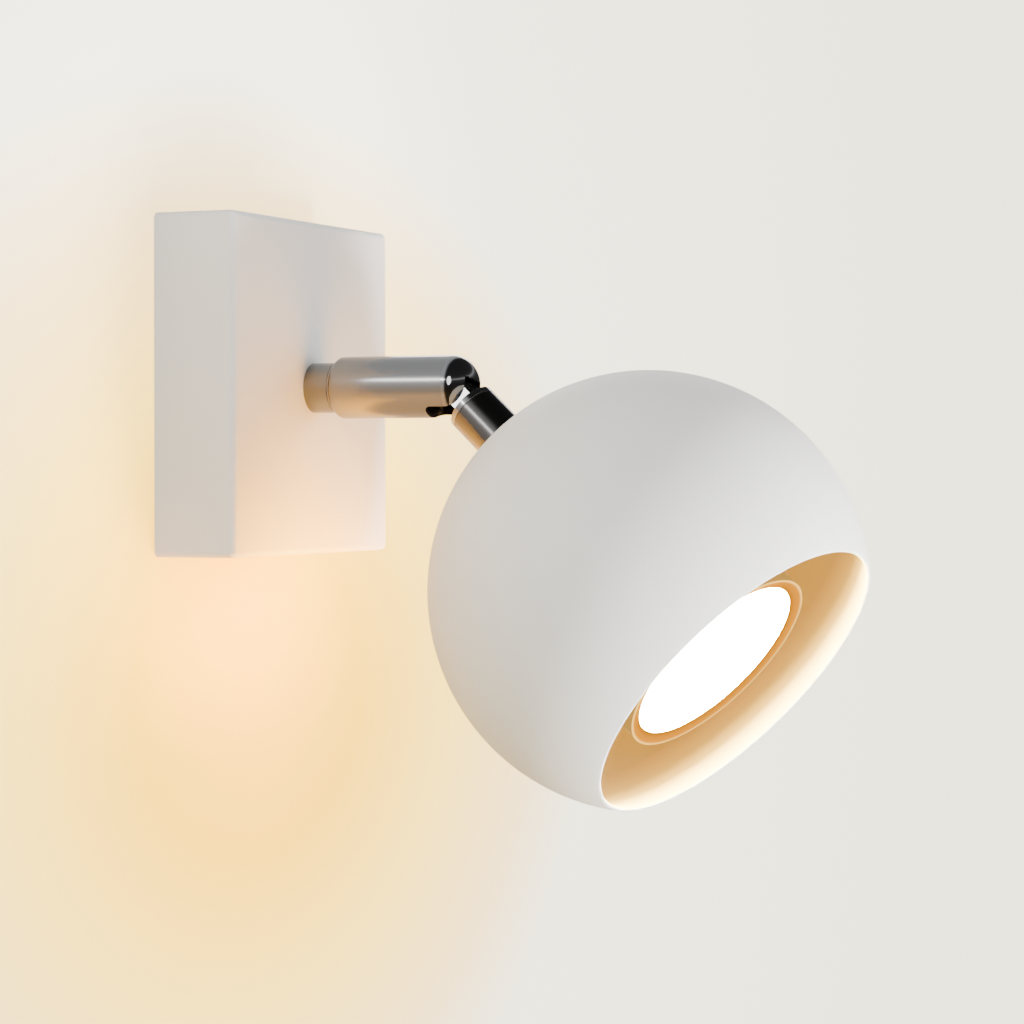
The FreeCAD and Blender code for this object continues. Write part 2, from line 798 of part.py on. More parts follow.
def arm_leads():
    """The two supply leads on their way through the barrel."""
    start = (size.collar_length + size.spigot_length + size.hole_play).number
    end = (size.pivot_reach - size.tongue_eye_radius - size.eye_clearance - size.lead_gap).number
    spread, slack = size.lead_spread.number, size.lead_slack.number
    leads = []
    for side in (-1, 1):
        route = [(side * spread, slack, start), (side * (spread + slack), 0, (start + end) / 2)]
        route.append((side * spread, -slack, end))
        leads.append(lead(route))
    sub_part(together(leads), "arm_leads", arm_frame)


# ---------------------------------------------------------------- head


def tongue_sides():
    """Near and far cheek of the tongue, which leaves room for the washer."""
    near = size.tongue_side_play - size.slot_width / 2
    far = size.slot_width / 2 - size.tilt_washer_thickness - size.tongue_side_play
    return near, far


def knuckle_tongue():
    """Eye, flat neck, shoulder disc and hollow threaded tail in one turned and milled piece."""
    near, far = tongue_sides()
    thick = far - near
    centre = (near + far) / 2
    eye = rod(size.tongue_eye_radius, thick, (near, 0, 0), "X")
    neck = block((thick, size.tongue_half_height * 2, size.disc_start), (centre, 0), 0)
    disc = rod(size.stem_radius, size.disc_thickness, (0, 0, size.disc_start))
    tail_start = size.disc_start + size.disc_thickness
    tail = rod(size.thread_radius, head_tail_end() - tail_start, (0, 0, tail_start))
    bore = rod(size.tail_bore_radius, head_tail_end(), (0, 0, tail_start))
    neck_start = size.tongue_eye_radius + size.neck_bore_radius
    neck_bore = rod(size.neck_bore_radius, head_tail_end(), (0, 0, neck_start))
    window = rod(size.neck_bore_radius, size.stem_radius, (0, -size.stem_radius, neck_start), "Y")
    pin_hole = rod(size.pin_radius + size.screw_play, size.slot_width, (-size.slot_width / 2, 0, 0), "X")
    piece = cut(join([eye, neck, disc, tail]), [bore, neck_bore, window, pin_hole])
    sub_part(piece, "knuckle_tongue", head_frame)


def tilt_washer():
    """Friction washer between the tongue and the hidden cheek."""
    far = tongue_sides()[1]
    bore = size.pin_radius + size.screw_play
    ring = rod(size.tongue_eye_radius, size.tilt_washer_thickness, (far, 0, 0), "X")
    hole = rod(bore, size.slot_width, (0, 0, 0), "X")
    sub_part(cut(ring, [hole]), "tilt_washer", head_frame)


def stem_end():
    """Height at which the sleeve's end meets the globe around its hole."""
    hole = size.thread_radius + size.hole_play
    return size.globe_reach - root(size.globe_radius * size.globe_radius - hole * hole)


def stem_sleeve():
    """Polished sleeve over the threaded tail, between the disc and the globe."""
    low = size.disc_start + size.disc_thickness
    bore = size.thread_radius + size.thread_play
    edge = size.stem_radius - size.stem_seam
    corners = [(bore, low), (edge, low), (size.stem_radius, low + size.stem_seam)]
    corners += [(size.stem_radius, stem_end()), (bore, stem_end())]
    sub_part(turned("StemSleeve", corners), "stem_sleeve", head_frame)


def globe_shade():
    """Spun globe with a mouth cut square to the stem and a hole for the tail."""
    outer = doc.addObject("Part::Sphere", "GlobeOuter")
    drive(outer, "Radius", size.globe_radius)
    place(outer, (0, 0, size.globe_reach))
    inner = doc.addObject("Part::Sphere", "GlobeInner")
    drive(inner, "Radius", size.globe_radius - size.globe_wall)
    place(inner, (0, 0, size.globe_reach))
    mouth = size.globe_reach + size.mouth_offset
    beyond = rod(size.globe_radius, size.globe_radius, (0, 0, mouth))
    hole = rod(size.thread_radius + size.hole_play, size.globe_radius)
    sub_part(cut(outer, [inner, beyond, hole]), "globe_shade", head_frame)


def shade_washer_low():
    """Height at which the flat washer's rim meets the inside of the globe."""
    inner = size.globe_radius - size.globe_wall
    return size.globe_reach - root(inner * inner - size.washer_radius * size.washer_radius)


def strap_low():
    """Height of the strap's back, on the washer."""
    return shade_washer_low() + size.washer_thickness


def shade_nut_low():
    return strap_low() + size.strap_thickness


def shade_nut_top():
    return shade_nut_low() + size.nut_height


def head_tail_end():
    return shade_nut_top() + size.tail_beyond_nut


def holder_start():
    """Height of the lampholder's back, which stays clear of the nut and the tail."""
    return shade_nut_top() + size.holder_clearance


def shade_fixings():
    """Washer and nut that clamp the globe and the lampholder's strap to the stem."""
    bore = size.thread_radius + size.thread_play
    washer = tube("ShadeWasher", size.washer_radius, bore, shade_washer_low(), strap_low())
    sub_part(washer, "shade_washer", head_frame)
    nut = hexagon(size.nut_across_flats, size.nut_height, shade_nut_low())
    sub_part(cut(nut, [rod(bore, size.globe_reach)]), "shade_nut", head_frame)


def holder_strap():
    """Bent strap with two legs whose feet carry the lampholder."""
    thick = size.strap_thickness
    reach = size.strap_leg_reach
    foot_low = holder_start() - thick
    pieces = [block((reach * 2, size.strap_width, thick), (0, 0), strap_low())]
    holes = [rod(size.thread_radius + size.thread_play, size.globe_reach)]
    for side in (-1, 1):
        leg_middle = (reach - thick / 2) * side
        leg_height = holder_start() - strap_low()
        pieces.append(block((thick, size.strap_width, leg_height), (leg_middle, 0), strap_low()))
        foot_length = size.strap_foot_reach - reach + thick
        foot_middle = (size.strap_foot_reach + reach - thick) * side / 2
        pieces.append(block((foot_length, size.strap_width, thick), (foot_middle, 0), foot_low))
        screw_spot = (size.holder_screw_reach * side, 0, foot_low)
        holes.append(rod(size.screw_radius + size.screw_play, thick, screw_spot))
    sub_part(cut(join(pieces), holes), "holder_strap", head_frame)


def holder_face_low():
    return holder_start() + size.holder_body_height


def holder_top():
    return holder_face_low() + size.holder_face_height


def chamber_floor():
    return holder_face_low() - size.chamber_depth


def chamber_outer():
    return size.lamp_pin_spacing / 2 + size.lamp_pin_head_radius + size.eye_clearance


def chamber_inner():
    return size.lamp_pin_spacing / 2 - size.lamp_pin_head_radius - size.eye_clearance


def holder_body():
    """Ceramic body with an annular room for the pin heads and the lead holes."""
    base = rod(size.holder_radius, size.holder_body_height, (0, 0, holder_start()))
    room = tube("ContactRoom", chamber_outer(), chamber_inner(), chamber_floor(), holder_face_low())
    lead_room = rod(size.lead_room_radius, size.lead_room_depth, (0, 0, holder_start()))
    tools = [room, lead_room]
    for side in (-1, 1):
        screw_spot = (size.holder_screw_reach * side, 0, holder_start())
        tools.append(rod(size.screw_radius + size.hole_play, size.holder_body_height, screw_spot))
        lead_spot = (0, size.lamp_pin_spacing * side / 2, holder_start())
        tools.append(rod(size.lead_radius + size.hole_play, size.holder_body_height, lead_spot))
    sub_part(cut(base, tools), "holder_body", head_frame)


def holder_face():
    """Ceramic face with two keyholes: an entry hole and an arc for the pin's shank."""
    low = holder_face_low()
    base = rod(size.holder_radius, size.holder_face_height, (0, 0, low))
    pin_circle = size.lamp_pin_spacing / 2
    shank_room = size.lamp_pin_radius + size.hole_play
    tools = []
    for side in (-1, 1):
        arc = curved_slot(pin_circle, shank_room, low, 90 * side)
        tools.append(arc)
        entry_angle = math.radians(90 * side - size.lamp_twist.number)
        entry = rod(size.lamp_pin_head_radius + size.hole_play, size.holder_face_height, (0, 0, low))
        drive(entry, ".Placement.Base.x", pin_circle * math.cos(entry_angle))
        drive(entry, ".Placement.Base.y", pin_circle * math.sin(entry_angle))
        tools.append(entry)
        end = rod(shank_room, size.holder_face_height, (0, pin_circle * side, low))
        tools.append(end)
        spot = (size.holder_screw_reach * side, 0, low)
        tools.append(rod(size.screw_radius + size.hole_play, size.holder_face_height, spot))
        sink = size.screw_head_radius + size.hole_play
        depth = sink - size.screw_radius
        top = (size.holder_screw_reach * side, 0, holder_top() - depth)
        tools.append(cone(size.screw_radius, sink, depth, top))
    sub_part(cut(base, tools), "holder_face", head_frame)


def curved_slot(middle_radius, half_width, low, end_angle):
    """Arc-shaped cutter from the entry hole to the locked place of a pin."""
    outer = rod(middle_radius + half_width, size.holder_face_height, (0, 0, low))
    drive(outer, "Angle", size.lamp_twist)
    inner = rod(middle_radius - half_width, size.holder_face_height, (0, 0, low))
    arc = cut(outer, [inner])
    start = end_angle - size.lamp_twist.number
    arc.Placement = Placement(Vector(), Rotation(Vector(0, 0, 1), start))
    return arc


def holder_screws():
    """Countersunk screws from the holder's face into the strap's feet."""
    sunk = size.screw_head_radius - size.screw_radius
    foot = holder_start() - size.strap_thickness - size.holder_screw_beyond
    head_low = holder_top() - sunk - size.hole_play
    screws = []
    for side in (-1, 1):
        across = size.holder_screw_reach * side
        head = cone(size.screw_radius, size.screw_head_radius, sunk, (across, 0, head_low))
        shank = rod(size.screw_radius, head_low - foot, (across, 0, foot))
        screws.append(join([head, shank]))
    sub_part(together(screws), "holder_screws", head_frame)


def holder_contacts():
    """Two spring contacts on the floor of the room, under the pins' heads."""
    wide = size.lamp_pin_head_radius * 2
    plate = (wide, wide, size.contact_thickness)
    contacts = [block(plate, (0, size.lamp_pin_spacing * side / 2), chamber_floor()) for side in (-1, 1)]
    sub_part(together(contacts), "holder_contacts", head_frame)


def head_leads():
    """Leads from the stem's bore into the lampholder."""
    spread = size.lead_spread.number
    pole = (size.lamp_pin_spacing / 2).number
    start = (size.disc_start + size.disc_thickness + size.lead_slack).number
    out = (head_tail_end() + size.hole_play).number
    turned_in = (holder_start() + size.lead_room_depth / 2).number
    inside = (chamber_floor() - size.lead_slack).number
    leads = []
    for side in (-1, 1):
        route = [(0, side * spread, start), (0, side * spread, out)]
        route += [(0, side * pole, turned_in), (0, side * pole, inside)]
        leads.append(lead(route))
    sub_part(together(leads), "head_leads", head_frame)


# ---------------------------------------------------------------- lamp


def lamp_foot():
    return holder_top() + size.lamp_gap


def lamp_face_reach():
    return lamp_foot() + size.lamp_length


def lamp_pins():
    """Two headed pins that lock behind the holder's face."""
    head_top = holder_face_low() - size.lamp_gap
    head_low = head_top - size.lamp_pin_head_height
    pins = []
    for side in (-1, 1):
        at = size.lamp_pin_spacing * side / 2
        head = rod(size.lamp_pin_head_radius, size.lamp_pin_head_height, (0, at, head_low))
        shank = rod(size.lamp_pin_radius, lamp_foot() - head_top, (0, at, head_top))
        pins.append(join([head, shank]))
    sub_part(together(pins), "lamp_pins", head_frame)


def lamp_base_top():
    return lamp_foot() + size.lamp_base_height


def lamp_cone_top():
    return lamp_base_top() + size.lamp_cone_height


def bezel_low():
    return lamp_face_reach() - size.bezel_height


def lamp_base():
    """Insulating base that carries the pins."""
    radius = size.lamp_base_radius
    corners = [(0, lamp_foot()), (radius, lamp_foot()), (radius, lamp_base_top()), (0, lamp_base_top())]
    sub_part(turned("LampBase", corners), "lamp_base", head_frame)


def lamp_shell():
    """Flared heat sink with an open front for the lamp's board."""
    wall = size.lamp_shell_wall
    outer = size.lamp_radius - size.hole_play
    foot = size.lamp_base_radius + wall
    floor = lamp_base_top() + wall * 2
    corners = [(0, lamp_base_top()), (foot, lamp_base_top()), (outer, lamp_cone_top()), (outer, bezel_low())]
    corners += [(outer - wall, bezel_low()), (outer - wall, lamp_cone_top())]
    corners += [(foot - wall, floor), (0, floor)]
    sub_part(turned("LampShell", corners), "lamp_shell", head_frame)


def diffuser_low():
    """Height of the diffuser's back, inside the bezel."""
    return lamp_face_reach() - size.diffuser_recess - size.diffuser_thickness * 3 / 2


def lamp_bezel():
    """Ring with a lip that holds the diffuser and a sloping inner edge."""
    lip = size.diffuser_radius
    seat = diffuser_low() + size.diffuser_thickness
    face = lamp_face_reach()
    outer = size.lamp_radius
    corners = [(lip + size.bezel_lap, bezel_low()), (outer, bezel_low())]
    corners += [(outer, face), (outer - size.bezel_rim, face)]
    corners += [(lip, face - size.diffuser_recess), (lip, seat), (lip + size.bezel_lap, seat)]
    sub_part(turned("LampBezel", corners), "lamp_bezel", head_frame)


def lamp_diffuser():
    """Frosted disc with a step that rests behind the bezel's lip."""
    face = size.diffuser_radius - size.screw_play
    step = face + size.bezel_lap
    low = diffuser_low()
    seat = low + size.diffuser_thickness
    top = seat + size.diffuser_thickness / 2
    corners = [(0, low), (step, low), (step, seat), (face, seat), (face, top), (0, top)]
    sub_part(turned("LampDiffuser", corners), "lamp_diffuser", head_frame)


def led_board():
    """Round board in the shell, on its inner shoulder."""
    radius = size.lamp_radius - size.lamp_shell_wall - size.hole_play * 2
    low, high = lamp_cone_top(), lamp_cone_top() + size.board_thickness
    corners = [(0, low), (radius, low), (radius, high), (0, high)]
    sub_part(turned("LedBoard", corners), "led_board", head_frame)


# ---------------------------------------------------------------- assembly


def build_all():
    wall_bracket()
    cable_grommet()
    canopy_cover()
    cover_screws()
    arm_collar()
    collar_fixings()
    terminal_block()
    terminal_tubes()
    terminal_screws()
    block_screw()
    earth_terminal()
    canopy_leads()
    arm_barrel()
    knuckle_dome()
    swivel_grub_screw()
    pivot_screw()
    arm_leads()
    knuckle_tongue()
    tilt_washer()
    stem_sleeve()
    globe_shade()
    shade_fixings()
    holder_strap()
    holder_body()
    holder_face()
    holder_screws()
    holder_contacts()
    head_leads()
    lamp_pins()
    lamp_base()
    lamp_shell()
    lamp_bezel()
    lamp_diffuser()
    led_board()
    doc.recompute()


def check_all():
    """Stop before anything is written if a feature failed or a piece isn't a sound solid."""
    for item in doc.Objects:
        if "Invalid" in item.State or "Error" in item.State:
            raise ValueError("failed: %s (%s)" % (item.Label, item.Name))
    for piece in sub_parts:
        if piece.Shape.isNull() or not piece.Shape.isValid() or not piece.Shape.Solids:
            raise ValueError("not a sound solid: " + piece.Label)


def write_all():
    os.makedirs("parts", exist_ok=True)
    for piece in sub_parts:
        piece.Shape.exportStep("parts/%s.step" % piece.Label)
        print("%-18s %d solid(s) %10.2f mm3" % (piece.Label, len(piece.Shape.Solids), piece.Shape.Volume))


build_all()
check_all()
write_all()
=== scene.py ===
# %% [markdown]
# # A pivoting spotlight for the wall
# The light is a square white canopy, a short satin arm, a polished knuckle and a white globe with a
# cut mouth and a lit lamp inside. Its solids come from CAD and stay where they are. Blender gives
# them their finish, and makes again the pieces that need a smoother surface or finer detail.

# %% Load the frame
import math
import bpy
import bmesh
from mathutils import Matrix, Vector


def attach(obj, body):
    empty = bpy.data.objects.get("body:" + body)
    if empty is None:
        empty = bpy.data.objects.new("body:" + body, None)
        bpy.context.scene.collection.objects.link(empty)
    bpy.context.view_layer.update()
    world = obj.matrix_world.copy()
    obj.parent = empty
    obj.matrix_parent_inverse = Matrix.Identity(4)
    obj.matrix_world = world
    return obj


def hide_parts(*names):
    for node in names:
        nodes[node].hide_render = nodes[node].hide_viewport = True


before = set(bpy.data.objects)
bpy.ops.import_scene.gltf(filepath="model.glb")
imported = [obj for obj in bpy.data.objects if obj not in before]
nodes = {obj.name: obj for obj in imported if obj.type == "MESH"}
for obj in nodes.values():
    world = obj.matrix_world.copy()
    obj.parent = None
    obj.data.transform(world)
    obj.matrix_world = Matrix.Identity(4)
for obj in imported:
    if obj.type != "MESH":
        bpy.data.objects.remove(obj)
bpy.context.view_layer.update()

# %% [markdown]
# Each part of the light has its own straight axis, so each gets its own set of axes. In the
# canopy's axes Z points out of the wall; the arm's are turned about Z by the swivel, and the
# head's are tilted about the knuckle's pin. A piece is drawn upright about Z in one of these, and
# its mesh is then moved into place, so that its object can stay at the origin.

# %% Axes of the canopy, the arm and the head
MM = 0.001
CANOPY_DEPTH = 21.0 * MM
PIVOT_REACH = 36.5 * MM
GLOBE_REACH = 72.0 * MM
SWIVEL = math.radians(12)
TILT = math.radians(42)
canopy_axes = Matrix.Rotation(math.radians(90), 4, "X")
front_axes = canopy_axes @ Matrix.Translation((0, 0, CANOPY_DEPTH))
arm_axes = front_axes @ Matrix.Rotation(-SWIVEL, 4, "Z")
pivot_axes = arm_axes @ Matrix.Translation((0, 0, PIVOT_REACH))
head_axes = pivot_axes @ Matrix.Rotation(TILT, 4, "X")
head_direction = head_axes.col[2].xyz
globe_axes = head_axes @ Matrix.Translation((0, 0, GLOBE_REACH))
globe_middle = globe_axes.translation
print("globe centre:", [round(v, 4) for v in globe_middle])

# %% [markdown]
# The camera stands to the left of the light, almost level with it, and uses a long lens. Its
# place was worked out from the canopy's edges and the ellipses of the collar and the lamp, so the
# picture has the photograph's own perspective. `linked_object` puts an object for any data into
# the scene, and later cells use it too.

# %% Camera
CAMERA_AT = Vector((-0.64307, -0.35474, -0.01958))
CAMERA_ALONG = Vector((0.91583, 0.40132, -0.01422))
PIXELS_ACROSS = 1024
FOCAL_PIXELS = 2998.6


def linked_object(name, data):
    made = bpy.data.objects.new(name, data)
    bpy.context.scene.collection.objects.link(made)
    return made


camera_data = bpy.data.cameras.new("camera")
camera_data.sensor_width = 36
camera_data.lens = FOCAL_PIXELS / PIXELS_ACROSS * camera_data.sensor_width
camera_data.clip_start = 0.01
camera = linked_object("camera", camera_data)
camera.location = CAMERA_AT
camera.rotation_euler = CAMERA_ALONG.to_track_quat("-Z", "Y").to_euler()
bpy.context.scene.camera = camera
print("lens:", round(camera_data.lens, 1), "mm")

# %% [markdown]
# A few small helpers keep the later cells short. `wire` adds a node and fills in its inputs, and
# `connect` does the same for a node that is already there. An input is named with _ for a space,
# or by its place as s0, s1 and so on. `material` starts a material with its Principled shader.

# %% Helpers for node trees


def connect(tree, node, **links):
    """Fill in a node's inputs: each gets a number, a colour or another node's output."""
    for name, value in links.items():
        place = int(name[1:]) if name[0] == "s" and name[1:].isdigit() else name.replace("_", " ")
        socket = node.inputs[place]
        if isinstance(value, bpy.types.NodeSocket):
            tree.links.new(value, socket)
        else:
            socket.default_value = value
    return node


def wire(tree, kind, settings=None, **links):
    node = tree.nodes.new(kind)
    for name, value in (settings or {}).items():
        setattr(node, name, value)
    return connect(tree, node, **links)


def material(name):
    made = bpy.data.materials.new(name)
    made.use_nodes = True
    return made, made.node_tree, made.node_tree.nodes["Principled BSDF"]


def calculate(tree, operation, first, second=0.0):
    """The output of a Math node."""
    return wire(tree, "ShaderNodeMath", {"operation": operation}, s0=first, s1=second).outputs[0]


def calculate_vector(tree, operation, first, second=(0, 0, 0)):
    """The output of a Vector Math node: a number for a length, a distance or a dot product."""
    node = wire(tree, "ShaderNodeVectorMath", {"operation": operation}, s0=first, s1=second)
    gives_number = operation in ("LENGTH", "DISTANCE", "DOT_PRODUCT")
    return node.outputs["Value" if gives_number else "Vector"]


def own_place(tree):
    """Object coordinates: metres in the light's own frame, which ride with a piece."""
    return wire(tree, "ShaderNodeTexCoord").outputs["Object"]


# %% [markdown]
# Three effects are shared by several finishes, so each is a node group. All of them need the same
# ending: one noise darkens the colour a little, another moves the roughness between a smooth and a
# matt value, and a third raises a fine relief. The group puts out only these three results, and
# the Principled shader stays in the material, where the export can read it.

# %% The frame of an effect group
NUMBER, COLOUR, VECTOR = "NodeSocketFloat", "NodeSocketColor", "NodeSocketVector"


def effect_group(name, inputs):
    """A shader node group with these inputs; returns it and what its inputs give."""
    made = bpy.data.node_groups.new(name, "ShaderNodeTree")
    for label, kind, value in inputs:
        socket = made.interface.new_socket(name=label, in_out="INPUT", socket_type=kind)
        socket.default_value = value
    for label, kind in (("Color", COLOUR), ("Roughness", NUMBER), ("Normal", VECTOR)):
        made.interface.new_socket(name=label, in_out="OUTPUT", socket_type=kind)
    return made, made.nodes.new("NodeGroupInput").outputs


def noise(tree, scale, detail):
    node = wire(tree, "ShaderNodeTexNoise", None, Vector=own_place(tree), Scale=scale, Detail=detail)
    return node.outputs["Fac"]


def end_group(made, given, colour, shade, darkest, rough, relief, strength, height):
    """Give a group its outputs; shade, rough and relief are noises, and height is in metres."""
    shading = wire(made, "ShaderNodeMapRange", None, Value=shade, To_Min=darkest, To_Max=1.0)
    shaded = wire(made, "ShaderNodeVectorMath", {"operation": "SCALE"}, s0=given[colour],
                  Scale=shading.outputs[0])
    roughness = wire(made, "ShaderNodeMapRange", None, Value=rough,
                     To_Min=given["Smooth"], To_Max=given["Matt"])
    bump = wire(made, "ShaderNodeBump", None, Strength=given[strength], Distance=height, Height=relief)
    wire(made, "NodeGroupOutput", None, Color=shaded.outputs[0], Roughness=roughness.outputs[0],
         Normal=bump.outputs[0])
    print("made group:", made.name)
    return made


# %% [markdown]
# Sprayed paint is never quite flat. Under a lens it has a fine orange-peel surface, and it is a
# little more matt in some places than in others. Both white pieces have it. Its inputs are the
# size of the grain, its depth, the two roughnesses that it moves between, and the paint's colour.

# %% Node group: sprayed paint
PEEL_HEIGHT = 0.02 * MM
PAINT_CLOUDS = 22.0


def sprayed_paint_group():
    made, given = effect_group("sprayed_paint", [
        ("Grain size", NUMBER, 1800.0), ("Grain depth", NUMBER, 0.35), ("Smooth", NUMBER, 0.42),
        ("Matt", NUMBER, 0.55), ("Paint", COLOUR, (0.8, 0.8, 0.8, 1))])
    peel = noise(made, given["Grain size"], 2.0)
    cloud = noise(made, PAINT_CLOUDS, 3.0)
    return end_group(made, given, "Paint", shade=cloud, darkest=0.985, rough=cloud,
                     relief=peel, strength="Grain depth", height=PEEL_HEIGHT)


sprayed_paint = sprayed_paint_group()

# %% [markdown]
# A turned and plated piece carries fine rings around its axis, left by the lathe, and faint
# clouding from handling. The rings are noise that changes quickly along the axis and not at all
# around it. The arm's axis is Y, and a Mapping node turns the axis of a tilted piece onto Y first.

# %% Node group: turned metal
RING_HEIGHT = 0.004 * MM
METAL_CLOUDS = 90.0


def turned_metal_group():
    made, given = effect_group("turned_metal", [
        ("Axis angle", VECTOR, (0, 0, 0)), ("Rings", NUMBER, 9000.0), ("Ring depth", NUMBER, 0.3),
        ("Smooth", NUMBER, 0.2), ("Matt", NUMBER, 0.3), ("Metal", COLOUR, (0.6, 0.6, 0.6, 1))])
    turned = wire(made, "ShaderNodeMapping", None, Vector=own_place(made),
                  Rotation=given["Axis angle"])
    along = wire(made, "ShaderNodeSeparateXYZ", None, Vector=turned.outputs[0]).outputs["Y"]
    rings = wire(made, "ShaderNodeTexNoise", {"noise_dimensions": "1D"}, W=along,
                 Scale=given["Rings"], Detail=2.0).outputs["Fac"]
    cloud = noise(made, METAL_CLOUDS, 4.0)
    return end_group(made, given, "Metal", shade=rings, darkest=0.93, rough=cloud,
                     relief=rings, strength="Ring depth", height=RING_HEIGHT)


turned_metal = turned_metal_group()

# %% [markdown]
# Moulded plastic, rubber and unglazed ceramic share one more effect: a fine random grain and a
# colour that drifts slightly from place to place.

# %% Node group: moulded grain
GRAIN_HEIGHT = 0.03 * MM
MOULD_CLOUDS = 160.0


def moulded_grain_group():
    made, given = effect_group("moulded_grain", [
        ("Grain size", NUMBER, 3000.0), ("Grain depth", NUMBER, 0.3), ("Drift", NUMBER, 0.12),
        ("Smooth", NUMBER, 0.4), ("Matt", NUMBER, 0.6), ("Body", COLOUR, (0.5, 0.5, 0.5, 1))])
    grain = noise(made, given["Grain size"], 3.0)
    cloud = noise(made, MOULD_CLOUDS, 3.0)
    least = calculate(made, "SUBTRACT", 1.0, given["Drift"])
    return end_group(made, given, "Body", shade=cloud, darkest=least, rough=grain,
                     relief=grain, strength="Grain depth", height=GRAIN_HEIGHT)


moulded_grain = moulded_grain_group()

# %% [markdown]
# With the groups made, a finish is one line: which group, which colour, and the two roughnesses
# that it moves between. Metallic is the same all over a surface, so it is set straight on the
# Principled shader. The metals look dark as colours, because what they mirror is bright.

# %% Finishes
HEAD_TURN = (-TILT, 0, 0)
WHITE = (0.80, 0.80, 0.79)


def finish(name, effect, colour, smooth, matt, metallic=0.0, **values):
    """A material whose colour, roughness and normal come from an effect group."""
    made, tree, shader = material(name)
    node = wire(tree, "ShaderNodeGroup", {"node_tree": effect}, Smooth=smooth, Matt=matt, **values)
    node.inputs[-1].default_value = (*colour, 1)
    connect(tree, shader, Base_Color=node.outputs["Color"], Roughness=node.outputs["Roughness"],
            Normal=node.outputs["Normal"], Metallic=metallic)
    return made


def metal(name, colour, smooth, matt, **values):
    return finish(name, turned_metal, colour, smooth, matt, 1.0, **values)


def moulded(name, colour, smooth, matt):
    return finish(name, moulded_grain, colour, smooth, matt)


canopy_paint = finish("canopy_paint", sprayed_paint, WHITE, 0.45, 0.6, Grain_size=1500.0)
globe_paint = finish("globe_paint", sprayed_paint, WHITE, 0.5, 0.62, Grain_size=2200.0, Grain_depth=0.2)
satin_nickel = metal("satin_nickel", (0.26, 0.255, 0.25), 0.16, 0.22, Rings=7000.0)
# A darker copy of the arm's satin nickel: painted shade for the darker reflections on the collar.
collar_nickel_painted_shade = metal("collar_nickel_painted_shade", (0.21, 0.21, 0.205), 0.18, 0.26, Rings=7000.0)
chrome = metal("polished_chrome", (0.28, 0.28, 0.28), 0.04, 0.09, Ring_depth=0.02)
# A darker, rougher copy of the polished chrome: painted shade for the darker reflections on the stem's
# sleeve.
chrome_painted_shade = metal("chrome_painted_shade", (0.12, 0.115, 0.11), 0.12, 0.17, Ring_depth=0.02)
zinc = metal("zinc_plate", (0.30, 0.31, 0.33), 0.25, 0.45, Ring_depth=0.2)
brass = metal("bright_brass", (0.42, 0.28, 0.10), 0.18, 0.32, Ring_depth=0.1)
ceramic = moulded("steatite", (0.74, 0.70, 0.62), 0.5, 0.7)
rubber = moulded("grommet_rubber", (0.02, 0.02, 0.02), 0.6, 0.8)
block_plastic = moulded("terminal_plastic", (0.75, 0.73, 0.66), 0.35, 0.5)
brown_sleeve = moulded("brown_sleeve", (0.10, 0.04, 0.02), 0.35, 0.5)
blue_sleeve = moulded("blue_sleeve", (0.02, 0.08, 0.40), 0.35, 0.5)
lamp_plastic = moulded("lamp_plastic", (0.05, 0.04, 0.03), 0.3, 0.45)
lamp_metal = metal("lamp_metal", (0.20, 0.13, 0.08), 0.3, 0.42, Axis_angle=HEAD_TURN)
# The bezel's colour is nearly black; its gold is a painted glow, added below.
bezel_gold = metal("bezel_gold", (0.05, 0.022, 0.001), 0.30, 0.40, Axis_angle=HEAD_TURN)
board_white = moulded("board_white", (0.75, 0.75, 0.72), 0.3, 0.4)
print("finishes:", len(bpy.data.materials))

# %% [markdown]
# The earth lead's sleeve is green with yellow bands that wind along it. A diagonal wave crosses
# the lead at a slant wherever it runs, and a ramp with hard steps makes bands of it.

# %% Earth sleeve
SLEEVE_BANDS = ((0.0, (0.03, 0.25, 0.05)), (0.6, (0.75, 0.60, 0.03)))
BAND_SCALE = 90.0


def colour_ramp(tree, share, stops, interpolation="LINEAR"):
    """The colour at a share between 0 and 1, from a ramp with a stop for each (place, colour)."""
    ramp = wire(tree, "ShaderNodeValToRGB", None, Fac=share)
    ramp.color_ramp.interpolation = interpolation
    elements = ramp.color_ramp.elements
    elements.remove(elements[1])
    for index, (position, colour) in enumerate(stops):
        element = elements[0] if index == 0 else elements.new(position)
        element.position, element.color = position, (*colour, 1)
    return ramp.outputs["Color"]


def earth_sleeve_finish():
    made, tree, shader = material("earth_sleeve")
    wave = wire(tree, "ShaderNodeTexWave", {"bands_direction": "DIAGONAL"}, Vector=own_place(tree),
                Scale=BAND_SCALE)
    bands = colour_ramp(tree, wave.outputs["Fac"], SLEEVE_BANDS, "CONSTANT")
    connect(tree, shader, Base_Color=bands, Roughness=0.4)
    return made


earth_sleeve = earth_sleeve_finish()
print("made material:", earth_sleeve.name)

# %% [markdown]
# The lamp's face is a frosted disc with the light behind it, so it gives light itself. It is
# brightest in the middle and a little warmer towards its edge. The strength is high, because this
# disc lights the inside of the globe near its mouth, up to the line where the lamp's own bezel
# cuts the light off.

# %% Glowing face
LAMP_FACE_REACH = 96.0 * MM
DIFFUSER_RADIUS = 22.0 * MM
FACE_GLOW = ((0.6, (1.0, 0.80, 0.40)), (1.0, (1.0, 0.74, 0.32)))
FACE_STRENGTH = 360.0
FROST_SCALE = 900.0
FROST_HEIGHT = 0.03 * MM
face_middle = head_axes @ Vector((0, 0, LAMP_FACE_REACH))


